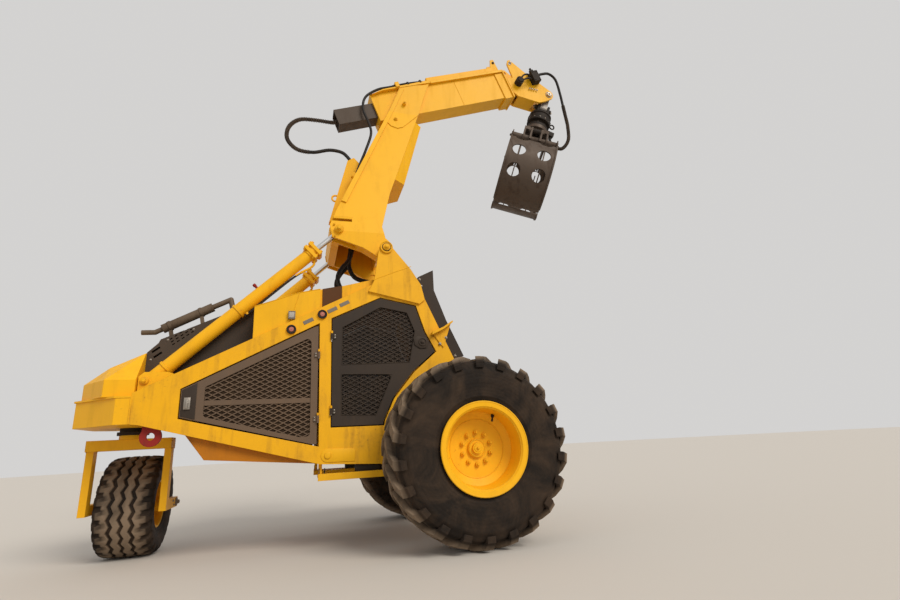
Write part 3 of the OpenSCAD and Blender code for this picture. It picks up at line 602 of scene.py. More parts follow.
class Palette:
    """All finishes of the machine, each built once."""

    def __init__(self) -> None:
        """Build the finishes."""
        wheel = at(0.0, 0.0, 0.8)
        caster = at(-2.970, 0.350, 0.450)
        self.yellow = Painted("yellow_paint", (0.88, 0.45, 0.010), dirt=(0.30, 0.13, 0.02), chips=0.45,
                              grime=0.32, low_dirt=0.20).material()
        self.worn = Painted("worn_yellow", (0.86, 0.43, 0.010), under=(0.16, 0.06, 0.015),
                            dirt=(0.17, 0.075, 0.022), chips=1.0, grime=0.80, low_dirt=0.10).material()
        self.wheel = Painted("wheel_yellow", (0.90, 0.46, 0.010), under=(0.10, 0.04, 0.01),
                             dirt=(0.45, 0.15, 0.01), chips=1.0, grime=0.30, wear=1.0,
                             low_dirt=0.0).material()
        # A darker orange copy of the yellow paint for the orange_plate slot: painted shade of yellow plates
        # that lie in shadow.
        self.orange = Painted("orange_plate", (0.50, 0.17, 0.008), dirt=(0.12, 0.055, 0.015),
                              grime=0.6).material()
        self.dark = Painted("dark_paint", (0.042, 0.031, 0.024), under=(0.15, 0.11, 0.07),
                            dirt=(0.085, 0.055, 0.034), grime=0.45, roughness=0.55, gloss=0.15).material()
        self.hood = Painted("hood_paint", (0.060, 0.044, 0.033), under=(0.16, 0.11, 0.07),
                            dirt=(0.11, 0.070, 0.040), grime=0.5, roughness=0.55, gloss=0.15).material()
        self.bronze = Painted("brown_paint", (0.135, 0.090, 0.060), under=(0.26, 0.18, 0.11),
                              dirt=(0.19, 0.11, 0.055), grime=0.4, roughness=0.5).material()
        self.red = Painted("red_paint", (0.30, 0.018, 0.014), dirt=(0.08, 0.03, 0.02), grime=0.5).material()
        self.steel = Painted("bare_steel", (0.105, 0.078, 0.060), under=(0.26, 0.22, 0.18),
                             dirt=(0.040, 0.020, 0.011), metallic=0.25, grime=1.0, chips=0.5,
                             roughness=0.5, wear=0.7).material()
        self.link = Painted("link_steel", (0.26, 0.235, 0.21), under=(0.12, 0.08, 0.05),
                            dirt=(0.06, 0.04, 0.028), metallic=0.5, grime=0.8, roughness=0.45).material()
        self.arm = Painted("arm_grey", (0.085, 0.062, 0.046), under=(0.18, 0.13, 0.09),
                           dirt=(0.050, 0.032, 0.022), grime=0.7, roughness=0.45).material()
        self.rust = Painted("muffler_rust", (0.150, 0.105, 0.068), under=(0.08, 0.045, 0.025),
                            dirt=(0.045, 0.028, 0.017), grime=1.0, roughness=0.6, metallic=0.3, grain=0.002,
                            gloss=0.3).material()
        # Dark brown for the plate between tank housing and roof: painted shade, not soil.
        self.soil = Painted("soiled_plate", (0.105, 0.046, 0.020), dirt=(0.055, 0.028, 0.014), grime=0.8,
                            roughness=0.7, gloss=0.1).material()
        self.cast = Painted("cast_grey", (0.024, 0.019, 0.016), under=(0.10, 0.075, 0.055),
                            dirt=(0.060, 0.038, 0.022), grime=0.6, roughness=0.6, grain=0.003,
                            gloss=0.15).material()
        self.silver = Painted("bolt_silver", (0.34, 0.31, 0.27), under=(0.16, 0.10, 0.06), metallic=0.7,
                              grime=0.6, roughness=0.4).material()
        self.plate = Painted("blank_plate", (0.20, 0.175, 0.145), grime=0.5, roughness=0.45).material()
        self.chrome = Plain("rod_chrome", (0.72, 0.72, 0.72), (0.35, 0.30, 0.25), 0.12, 1.0, 0.25).material()
        self.hose = Plain("hose_rubber", (0.014, 0.012, 0.011), (0.055, 0.038, 0.026), 0.5, dusty=0.45,
                          gloss=0.25).material()
        self.guard = Plain("hose_guard", (0.060, 0.044, 0.033), (0.15, 0.105, 0.070), 0.55, dusty=0.6,
                           gloss=0.2).material()
        self.vinyl = Plain("seat_vinyl", (0.022, 0.019, 0.017), (0.070, 0.052, 0.038), 0.5, scale=260.0,
                           gloss=0.25).material()
        self.marker = Plain("marker_lens", (0.45, 0.14, 0.10), (0.30, 0.12, 0.08), 0.2, coat=0.6).material()
        self.glass = Plain("lamp_glass", (0.72, 0.66, 0.60), (0.42, 0.34, 0.28), 0.12, coat=1.0).material()
        # Dark plates behind the door mesh, for the engine bay and the cab: painted shade of the insides. The
        # cab's plates are seen through.
        self.pane = Plain("smoked_pane", (0.030, 0.020, 0.014), (0.060, 0.036, 0.020), 0.25, dusty=0.7,
                          solid=0.72, gloss=0.2).material()
        self.shade = Plain("engine_shade", (0.035, 0.022, 0.014), (0.075, 0.048, 0.028), 0.8, dusty=0.7,
                           gloss=0.1).material()
        self.tyre = Tyre("drive_rubber", wheel, (1.0, 0.0, 1.0), 0.735).material()
        self.caster = Tyre("caster_rubber", caster, (0.0, 1.0, 1.0), 0.434, 0.013).material()
        self.by_slot = {
            "yellow_paint": self.yellow, "orange_plate": self.orange, "dark_paint": self.dark,
            "brown_paint": self.bronze, "red_paint": self.red, "bare_steel": self.steel,
            "rod_chrome": self.chrome, "cast_grey": self.cast, "tyre_rubber": self.tyre,
            "seat_vinyl": self.vinyl, "hose_rubber": self.hose,
        }
        self.by_node = {
            "caster_tyre": self.caster, "side_lamps": self.cast, "inner_boom": self.arm, "muffler": self.rust,
            "engine_hood": self.hood, "tower_ears": self.worn, "side_frames": self.worn,
            "cab_roof": self.worn, "rim_left": self.wheel, "rim_right": self.wheel, "crane_link": self.link,
        }

    def dress_nodes(self) -> None:
        """Give each CAD node the finish of its slot, or its own."""
        slots = {part["node"]: part["material_slot"] for part in frame["record"]["subparts"]}
        for name, node in frame["nodes"].items():
            material = self.by_node.get(name) or self.by_slot[slots[name]]
            if not node.material_slots:
                node.data.materials.append(material)
            for place in node.material_slots:
                place.material = material


# Camera, floor and light

@dataclass
class Studio:
    """Camera at the photograph's angle, a pale floor and soft light."""

    focal_px: float = 489.0  # focal length in pixels of a picture this wide
    width_px: int = 900
    sensor: float = 36.0
    eye: Vector = Vector((-0.783, -5.405, 0.856))
    yaw: float = 0.307
    pitch: float = 0.284
    roll: float = -0.057

    def camera(self) -> None:
        """Make the camera and set it as the scene's."""
        flat = math.cos(self.pitch)
        look = Vector((math.sin(self.yaw) * flat, math.cos(self.yaw) * flat, math.sin(self.pitch)))
        right = Vector((math.cos(self.yaw), -math.sin(self.yaw), 0.0))
        up = right.cross(look)
        side = right * math.cos(self.roll) + up * math.sin(self.roll)
        top = up * math.cos(self.roll) - right * math.sin(self.roll)
        data = bpy.data.cameras.new("camera")
        data.sensor_width = self.sensor
        data.lens = self.focal_px / self.width_px * self.sensor
        camera = bpy.data.objects.new("camera", data)
        camera.matrix_world = Matrix((
            (side.x, top.x, -look.x, self.eye.x), (side.y, top.y, -look.y, self.eye.y),
            (side.z, top.z, -look.z, self.eye.z), (0.0, 0.0, 0.0, 1.0)))
        bpy.context.scene.collection.objects.link(camera)
        bpy.context.scene.camera = camera

    def floor(self) -> None:
        """Make the plain pale floor."""
        bm = bmesh.new()
        bmesh.ops.create_circle(bm, cap_ends=True, segments=64, radius=60.0)
        mesh = bpy.data.meshes.new("floor")
        bm.to_mesh(mesh)
        bm.free()
        mat, _, shader = start_material("floor")
        shader.inputs["Base Color"].default_value = (0.57, 0.53, 0.48, 1.0)
        shader.inputs["Roughness"].default_value = 0.95
        mesh.materials.append(mat)
        floor = bpy.data.objects.new("floor", mesh)
        bpy.context.scene.collection.objects.link(floor)

    def light(self) -> None:
        """Make a pale world and one large soft lamp from above and in front."""
        scene = bpy.context.scene
        scene.view_settings.view_transform = "Standard"
        world = bpy.data.worlds.new("world")
        world.use_nodes = True
        scene.world = world
        back = world.node_tree.nodes["Background"]
        back.inputs["Color"].default_value = (0.77, 0.76, 0.75, 1.0)
        back.inputs["Strength"].default_value = 0.85
        data = bpy.data.lights.new("soft_sun", "SUN")
        data.energy = 2.1
        data.angle = math.radians(28.0)
        data.color = (1.0, 0.95, 0.87)
        lamp = bpy.data.objects.new("soft_sun", data)
        lamp.rotation_euler = Vector((-0.45, 0.85, -0.78)).to_track_quat("-Z", "Y").to_euler()
        scene.collection.objects.link(lamp)


# Hoses

@dataclass(frozen=True)
class Bend:
    """Where a soft piece passes from one body to the next, with the drive axle at x = 0."""

    first: str
    second: str
    start: Point
    end: Point


@dataclass(frozen=True)
class Bundle:
    """Free hoses that run side by side along one route, which has the drive axle at x = 0."""

    name: str
    radius: float  # of one hose
    route: tuple[Point, ...]
    held: str | Bend  # the body it rides on, or where it bends
    places: tuple[tuple[float, float], ...] = ((0.0, 0.0),)  # of its hoses: sideways, over the route
    wrapped: tuple[int, int] = (0, 0)  # the stretch that a spiral guard covers
    wrap_radius: float = 0.0265
    strip: float = 0.22  # half the strip's thickness, as a share of the wrap's radius
    strip_pitch: float = 3.1  # from one turn to the next, as a share of that
    ends: tuple[bool, ...] = (False, True)  # fittings at the near end, at the far end
    steps: int = 5

    def line(self, sideways: float = 0.0, over: float = 0.0) -> list[Vector]:
        """Give the centreline of one hose in the row's frame.

        Args:
            sideways: metres beside the route.
            over: metres over the route.

        Returns:
            The points of its line.
        """
        middle = smooth_line([at(*p) for p in self.route], self.steps)
        last = len(middle) - 1
        line = []
        for i, point in enumerate(middle):
            ahead = (middle[min(i + 1, last)] - middle[max(i - 1, 0)]).normalized()
            side = (Axis.Y.along() - ahead * ahead.y).normalized()
            line.append(point + side * sideways + ahead.cross(side) * over)
        return line

    def made(self, piece: Piece, material: bpy.types.Material) -> bpy.types.Object:
        """Finish one soft piece and hold it as the bundle is held.

        Args:
            piece: its mesh.
            material: its finish.

        Returns:
            The object.
        """
        if isinstance(self.held, str):
            return piece.finish(self.held, material, "hose_rubber", smooth=80.0)
        soft = piece.finish(None, material, "hose_rubber", smooth=80.0)
        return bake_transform(soft)

    def wrap(self, material: bpy.types.Material) -> bpy.types.Object:
        """Wind the guard's strip round its stretch of the bundle."""
        line = self.line()[self.wrapped[0]:self.wrapped[1] + 1]
        piece = Piece(self.name + "_guard")
        tube = self.wrap_radius * self.strip
        for a, b in zip(line, line[1:]):
            turns = max(1, round((b - a).length / (tube * self.strip_pitch)))
            for j in range(turns):
                piece.ring(a.lerp(b, (j + 0.5) / turns), (b - a).normalized(), self.wrap_radius - tube, tube,
                           14)
        return self.made(piece, material)

    def fittings(self, far: bool, material: bpy.types.Material) -> bpy.types.Object:
        """Make the crimped fittings of every hose at one end.

        Args:
            far: whether this is the far end.
            material: their finish.

        Returns:
            The object.
        """
        body = self.held
        if isinstance(body, Bend):
            body = body.second if far else body.first
        piece = Piece(f"{self.name}_{'far' if far else 'near'}_fittings")
        for place in self.places:
            line = self.line(*place)
            foot, onward = (line[-1], line[-2]) if far else (line[0], line[1])
            way = (onward - foot).normalized()
            piece.drum(foot, foot + way * 0.030, self.radius * 1.14, sides=16)
            piece.drum(foot, foot + way * 0.010, self.radius * 1.26, sides=6)
        return piece.finish(body, material, "cast_grey")

    def build(self, palette: Palette, node: str) -> None:
        """Make the hoses, with the bundle's guard and fittings.

        Args:
            palette: the machine's finishes.
            node: the CAD node that they stand for.
        """
        extras = [self.fittings(far, palette.cast) for far in self.ends]
        if self.wrapped[1]:
            extras.append(self.wrap(palette.guard))
        for number, place in enumerate(self.places):
            line = self.line(*place)
            piece = Piece(f"{self.name}_{number + 1}")
            piece.sweep(line, self.radius)
            hose = self.made(piece, palette.hose)
            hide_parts(node)


@dataclass
class Hoses:
    """All hoses that hang free between two points of the machine."""

    palette: Palette
    tail: tuple[Point, ...] = (
        (-1.108, 0.0, 4.817), (-1.200, 0.0, 4.788), (-1.400, 0.0, 4.791), (-1.590, 0.0, 4.770),
        (-1.710, 0.0, 4.650), (-1.725, 0.0, 4.480), (-1.610, 0.0, 4.350), (-1.420, 0.0, 4.332),
        (-1.230, 0.0, 4.388), (-1.085, 0.0, 4.378), (-1.010, 0.0, 4.320), (-0.974, 0.0, 4.265))
    knee: tuple[Point, ...] = (
        (-0.417, -0.140, 5.366), (-0.500, -0.140, 5.333), (-0.650, -0.140, 5.268), (-0.800, -0.140, 5.130),
        (-0.832, -0.140, 4.950), (-0.765, -0.140, 4.760), (-0.735, -0.142, 4.600), (-0.800, -0.146, 4.360),
        (-0.875, -0.150, 4.140), (-0.918, -0.150, 4.001))
    head: tuple[Point, ...] = (
        (1.686, -0.165, 5.926), (1.780, -0.162, 5.975), (1.900, -0.152, 6.008), (2.010, -0.135, 5.935),
        (2.070, -0.110, 5.720), (2.105, -0.095, 5.480), (2.150, -0.070, 5.230))
    swivel: tuple[Point, ...] = (
        (2.150, -0.070, 5.230), (2.145, -0.045, 4.990), (2.030, -0.020, 4.842), (1.895, -0.008, 4.885),
        (1.865, 0.0, 4.978), (1.882, 0.0, 5.024))
    foot_loop: tuple[Point, ...] = (
        (-0.950, -0.110, 3.250), (-0.952, -0.110, 3.120), (-0.990, -0.110, 2.930), (-1.075, -0.110, 2.812),
        (-1.120, -0.110, 2.710), (-1.100, -0.110, 2.600), (-1.040, -0.110, 2.525))
    foot_mid: tuple[Point, ...] = (
        (-0.950, 0.0, 3.250), (-0.975, 0.0, 3.050), (-0.985, 0.0, 2.880), (-0.930, 0.0, 2.755),
        (-0.820, 0.0, 2.705), (-0.690, 0.0, 2.690))

    @staticmethod
    def trefoil(radius: float) -> tuple[tuple[float, float], ...]:
        """Give the places of three hoses that touch each other."""
        return ((0.0, radius * 1.155), (radius, -radius * 0.577), (-radius, -radius * 0.577))

    @staticmethod
    def square(radius: float) -> tuple[tuple[float, float], ...]:
        """Give the places of four hoses that touch each other."""
        return tuple((radius * a, radius * b) for a in (-1, 1) for b in (-1, 1))

    def build(self) -> None:
        """Make every bundle with its guard and end fittings."""
        mat = self.palette
        sliding = Bend("boom_slide", "boom", (-1.108, 0.0, 4.817), (-1.250, 0.0, 4.500))
        Bundle("tail_hose", 0.0102, self.tail, sliding, self.trefoil(0.0102), (1, 34)).build(mat, "hose_tail")
        Bundle("knee_hose", 0.016, self.knee, "boom").build(mat, "hose_knee")
        swinging = Bend("boom_slide", "link", (2.010, -0.110, 5.850), (2.150, -0.070, 5.300))
        head = Bundle("head_hose", 0.0092, self.head, swinging, self.trefoil(0.0092), (24, 30), ends=(False,))
        head.build(mat, "hose_head")
        tilting = Bend("link", "rotator_body", self.swivel[0], self.swivel[-1])
        swivel = Bundle("swivel_hose", 0.0092, self.swivel, tilting, self.trefoil(0.0092), (0, 14),
                        ends=(True,))
        swivel.build(mat, "hose_head")
        far = tuple((x, -y, z) for x, y, z in self.foot_loop)
        for name, route, foot in (("right", self.foot_loop, (-1.040, -0.110, 2.560)),
                                  ("left", far, (-1.040, 0.110, 2.560)),
                                  ("middle", self.foot_mid, (-0.760, 0.0, 2.690))):
            lifting = Bend("boom", "chassis", (-0.950, foot[1], 3.200), foot)
            Bundle(f"foot_hose_{name}", 0.0115, route, lifting, self.square(0.0115)).build(mat, "hose_foot")


# Running gear

@dataclass
class DriveWheel:
    """Details of one large drive wheel: nuts, hub cap, valve and bead rings."""

    side: int  # -1 for the near wheel, 1 for the far one
    palette: Palette
    axle_z: float = 0.800
    track: float = 1.124
    dish: float = 0.060  # the dish's outer face, from the wheel's middle plane
    nut_circle: float = 0.134
    nuts: int = 10
    # bead rings: radius, distance from the middle plane, tube
    beads: tuple[Point, ...] = ((0.3805, 0.299, 0.0075), (0.331, 0.283, 0.006), (0.246, 0.082, 0.004))

    def spot(self, degrees: float, radius: float, out: float) -> Vector:
        """Give a point on the wheel.

        Args:
            degrees: turn round the axle, 0 towards the grapple.
            radius: metres from the axle.
            out: metres outside the wheel's middle plane.

        Returns:
            The point in the row's frame.
        """
        (x, z), = around(1, radius, degrees)
        return at(x, self.side * (self.track + out), self.axle_z + z)

    def build(self) -> None:
        """Make the wheel's details."""
        name = SIDE_NAMES[self.side]
        body = f"wheel_{name}"
        out = Axis.Y.along(self.side)
        hardware = Piece(f"wheel_nuts_{name}")
        pitch = 360.0 / self.nuts
        for i in range(self.nuts):
            centre = self.spot(pitch * (i + 0.5), self.nut_circle, self.dish)
            hardware.drum(centre, centre + out * 0.031, 0.0215, sides=6)
            hardware.drum(centre + out * 0.03, centre + out * 0.047, 0.011, 0.009, 12)
            hardware.drum(centre - out * 0.002, centre + out * 0.006, 0.028, sides=24)
        hub = self.spot(0.0, 0.0, 0.0)
        hardware.ring(hub + out * 0.089, out, 0.070, 0.0045, 40)
        hardware.drum(hub + out * 0.113, hub + out * 0.119, 0.037, 0.030, 32)
        hardware.bolt(hub + out * 0.118, out, 0.022, washer=False)
        hardware.bevelled(0.0012, 1, 50.0)
        hardware.finish(body, self.palette.yellow, "yellow_paint")
        beads = Piece(f"rim_beads_{name}")
        for radius, place, tube in self.beads:
            beads.ring(hub + out * place, out, radius, tube, 72)
        beads.finish(body, self.palette.yellow, "yellow_paint")
        valve = Piece(f"valve_{name}")
        foot, tip = self.spot(62.0, 0.306, 0.150), self.spot(62.0, 0.262, 0.185)
        valve.drum(foot, foot.lerp(tip, 0.4), 0.016, 0.013, 16)
        valve.drum(foot.lerp(tip, 0.35), tip, 0.0075, sides=12)
        valve.drum(tip, tip + (tip - foot) * 0.28, 0.0095, sides=12)
        valve.finish(body, self.palette.cast, "cast_grey")


@dataclass
class CasterTyre:
    """The caster's road tyre, with zigzag grooves and slanted shoulder lugs."""

    palette: Palette
    centre: Vector = at(-2.970, 0.350, 0.450)
    waves: int = 24
    zigzag: float = 0.013
    lug_every: int = 8  # segments from one shoulder lug to the next
    gap_depth: float = 0.026
    rib_half: float = 0.110  # the zigzag ribs reach this far from the middle plane
    rib_from: float = 0.430  # and start at this radius
    lug_in: float = 0.140  # the shoulder lugs start this far from the middle plane
    lug_from: float = 0.395  # and at this radius
    lug_slant: float = 0.030  # metres outwards for one segment of slant
    # half section: distance from the middle plane, radius
    section: tuple[tuple[float, float], ...] = (
        (0.202, 0.2195), (0.215, 0.236), (0.213, 0.252), (0.229, 0.292), (0.2345, 0.340), (0.2345, 0.378),
        (0.232, 0.400), (0.226, 0.417), (0.213, 0.430), (0.190, 0.4395), (0.150, 0.4455), (0.106, 0.449),
        (0.096, 0.4325), (0.075, 0.4325), (0.066, 0.4495), (0.018, 0.4500), (0.009, 0.4325))

    def build(self) -> None:
        """Spin the section, then push the grooves and lugs into it."""
        segments = self.waves * 8
        piece = Piece("caster_tread")
        whole = self.section + tuple((-x, r) for x, r in reversed(self.section))
        verts = [piece.bm.verts.new(self.centre + Vector((x, 0, r))) for x, r in whole]
        edges = [piece.bm.edges.new(pair) for pair in zip(verts, verts[1:])]
        bmesh.ops.spin(piece.bm, geom=verts + edges, cent=self.centre, axis=Axis.X.value, angle=math.tau,
                       steps=segments, use_merge=True)
        for vert in piece.bm.verts:
            arm = vert.co - self.centre
            place, radius = arm.x, math.hypot(arm.y, arm.z)
            step = round(math.atan2(arm.z, arm.y) / math.tau * segments)
            if radius > self.rib_from and abs(place) < self.rib_half:
                vert.co.x += self.zigzag * math.asin(math.sin(step * math.pi / 4)) / (math.pi / 2)
            if radius > self.lug_from and abs(place) > self.lug_in:
                slant = round((abs(place) - self.lug_in) / self.lug_slant)
                if (step + slant + (4 if place > 0 else 0)) % self.lug_every < 3:
                    deep = self.gap_depth * (0.35 if abs(place) < 0.16 else 1.0)
                    vert.co.y -= arm.y / radius * deep
                    vert.co.z -= arm.z / radius * deep
        piece.finish("caster_wheel", self.palette.caster, "tyre_rubber", ("caster_tyre",), smooth=24.0)


@dataclass
class CasterFork:
    """Bolts and grease points of the caster's fork and rim."""

    palette: Palette
    middle_x: float = -2.970
    leg: float = 0.315
    trail: float = 0.350
    axle_z: float = 0.450

    def build(self) -> None:
        """Make the fork's hardware."""
        piece = Piece("fork_hardware")
        for side in SIDES:
            out = Axis.X.along(side)
            leg = at(self.middle_x + side * self.leg, self.trail, self.axle_z)
            piece.drum(leg + out * 0.028, leg + out * 0.040, 0.038, sides=32)
            piece.bolt(leg + out * 0.038, out, 0.034)
            for dy, dz in ((-0.135, 0.02), (-0.09, -0.02)):
                piece.bolt(leg + out * 0.030 + Vector((0, dy, dz)), out, 0.014)
        piece.finish("caster_fork", self.palette.silver, "bare_steel")
        welds = Piece("fork_welds")
        for side in SIDES:
            for step, half, z in ((-0.030, 0.046, 0.955), (0.030, 0.045, 0.953)):
                x = self.middle_x + side * (self.leg + step)
                welds.sweep([at(x, -half, z), at(x, half, z)], 0.005, 8)
        welds.finish("caster_fork", self.palette.yellow, "yellow_paint")


# Body

@dataclass
class MeshScreen:
    """The finer bars of one mesh window, set between the CAD door's own bars."""

    name: str
    body: str
    side: int
    outline: Outline
    middle: tuple[float, float]
    rows: int
    plane: float = 0.6075  # from the machine's middle plane to the mesh
    degrees: float = 27.0
    pitch: float = 0.078
    margin: float = 0.004
    reach: float = 1.2  # half a bar's length, before it is cut
    bar_half: float = 0.0045
    thick_half: float = 0.002
    layer_step: float = 0.0022  # from the mesh's plane to the middle of each layer

    def build(self, material: bpy.types.Material, slot: str) -> None:
        """Make the bars and cut them to the window.

        Args:
            material: the door's finish.
            slot: the record's material slot.
        """
        piece = Piece(self.name)
        cx, cz = self.middle
        for lean in (-1, 1):
            turn = Matrix.Rotation(math.radians(lean * self.degrees), 4, "Y")
            layer = self.side * (self.plane - lean * self.layer_step)
            for i in range(-self.rows, self.rows):
                place = Matrix.Translation(at(cx, layer, cz)) @ turn
                up = (i + 0.5) * self.pitch
                piece.block((-self.reach, -self.thick_half, up - self.bar_half),
                            (self.reach, self.thick_half, up + self.bar_half), place)
        count = len(self.outline)
        centre = sum((at(x, 0, z) for x, z in self.outline), Vector()) / count
        for i in range(count):
            a, b = (at(x, 0, z) for x, z in (self.outline[i], self.outline[(i + 1) % count]))
            out = Vector(((b - a).z, 0, -(b - a).x)).normalized()
            if out.dot(a - centre) < 0:
                out.negate()
            geom = piece.bm.verts[:] + piece.bm.edges[:] + piece.bm.faces[:]
            cut = bmesh.ops.bisect_plane(piece.bm, geom=geom, plane_co=a + out * self.margin, plane_no=out,
                                         clear_outer=True)
            rim = [g for g in cut["geom_cut"] if isinstance(g, bmesh.types.BMEdge)]
            bmesh.ops.edgenet_fill(piece.bm, edges=rim)
        piece.finish(self.body, material, slot)


@dataclass
class Doors:
    """Mesh, panels, latches and hinge bolts of the four doors, and dark plates of painted shade behind the
    mesh.
    """

    palette: Palette
    face: float = 0.620
    engine_window: Outline = (
        (-2.290, 1.190), (-2.290, 1.448), (-1.421, 1.894), (-1.395, 1.855), (-1.390, 0.985), (-1.477, 0.980))
    upper_window: Outline = (
        (-1.103, 2.006), (-0.730, 2.222), (-0.455, 2.171), (-0.378, 1.975), (-0.442, 1.656), (-1.109, 1.635))
    lower_window: Outline = (
        (-1.113, 1.545), (-0.621, 1.538), (-0.785, 1.149), (-1.110, 1.161))
    panel: Outline = (
        (-2.468, 1.200), (-2.468, 1.424), (-2.352, 1.484), (-2.352, 1.170))
    lock_plate: Outline = (
        (-0.395, 1.900), (-0.350, 1.925), (-0.262, 1.905), (-0.240, 1.860), (-0.262, 1.800), (-0.330, 1.795),
        (-0.385, 1.830))
    pane_y: float = 0.596  # outer face of the dark plates of painted shade behind the mesh
    engine_hinges: tuple[float, ...] = (1.135, 1.730)
    cab_hinges: tuple[float, ...] = (1.196, 1.911)

    def side_set(self, side: int) -> None:
        """Dress the doors of one side.

        Args:
            side: -1 near, 1 far.
        """
        mat, name = self.palette, SIDE_NAMES[side]
        engine, cab = f"door_engine_{name}", f"door_cab_{name}"
        MeshScreen(f"engine_mesh_{name}", engine, side, self.engine_window, (-1.840, 1.440), 9).build(
            mat.bronze, "brown_paint")
        MeshScreen(f"cab_mesh_upper_{name}", cab, side, self.upper_window, (-0.770, 1.930), 7).build(
            mat.dark, "dark_paint")
        MeshScreen(f"cab_mesh_lower_{name}", cab, side, self.lower_window, (-0.900, 1.350), 6).build(
            mat.dark, "dark_paint")
        # Dark plates behind the mesh windows: painted shade of the engine bay and of the cab inside.
        for body, outlines, material in ((engine, (self.engine_window,), mat.shade),
                                         (cab, (self.upper_window, self.lower_window), mat.pane)):
            shade_backing = Piece(f"{body}_backing")
            for outline in outlines:
                shade_backing.plate(outline, side * self.pane_y, side * (self.pane_y - 0.003))
            shade_backing.finish(body, material, "dark_paint")
        out = Axis.Y.along(side)
        y = side * self.face
        panel = Piece(f"engine_door_panel_{name}")
        panel.plate(self.panel, y - side * 0.001, y + side * 0.005)
        panel.bevelled(0.0015, 2)
        panel.finish(engine, mat.dark, "dark_paint")
        latch = Piece(f"engine_latch_{name}")
        latch.box((-2.446, y + side * 0.004, 1.256), (-2.394, y + side * 0.018, 1.358))
        latch.drum(at(-2.420, y + side * 0.012, 1.307), at(-2.420, y + side * 0.030, 1.307), 0.013)
        latch.box((-2.428, y + side * 0.024, 1.262), (-2.412, y + side * 0.032, 1.336))
        latch.bevelled(0.002, 2)
        latch.finish(engine, mat.silver, "bare_steel")
        for body, x, heights, reach in ((engine, -1.324, self.engine_hinges, -0.030),
                                        (cab, -1.207, self.cab_hinges, 0.030)):
            hinge = Piece(f"{body}_hinge_bolts")
            for z in heights:
                for dz in (-0.012, 0.012):
                    hinge.bolt(at(x + reach, y + side * 0.009, z + dz), out, 0.011)
                hinge.drum(at(x, y + side * 0.012, z - 0.034), at(x, y + side * 0.012, z - 0.030), 0.013)
            hinge.finish(body, mat.silver, "bare_steel")
        lock = Piece(f"cab_lock_{name}")
        middle = at(-0.303, y + side * 0.012, 1.862)
        lock.ring(middle + out * 0.001, out, 0.037, 0.005, 32)
        lock.drum(middle + out * 0.008, middle + out * 0.014, 0.012, sides=20)
        lock.box((-0.303, y + side * 0.025, 1.860), (-0.294, y + side * 0.0265, 1.864))
        lock.plate(self.lock_plate, y - side * 0.001, y + side * 0.010)
        lock.bevelled(0.002, 2, 40.0)
        lock.finish(cab, mat.dark, "dark_paint")
        trim = Piece(f"door_trim_{name}")
        for ring_points in (self.upper_window, self.lower_window):
            pts = [at(x, y + side * 0.001, z) for x, z in ring_points]
            trim.sweep(smooth_line(pts + [pts[0]], 1), 0.0035, 8)
        trim.finish(cab, mat.dark, "dark_paint")

    def build(self) -> None:
        """Dress the doors of both sides."""
        for side in SIDES:
            self.side_set(side)


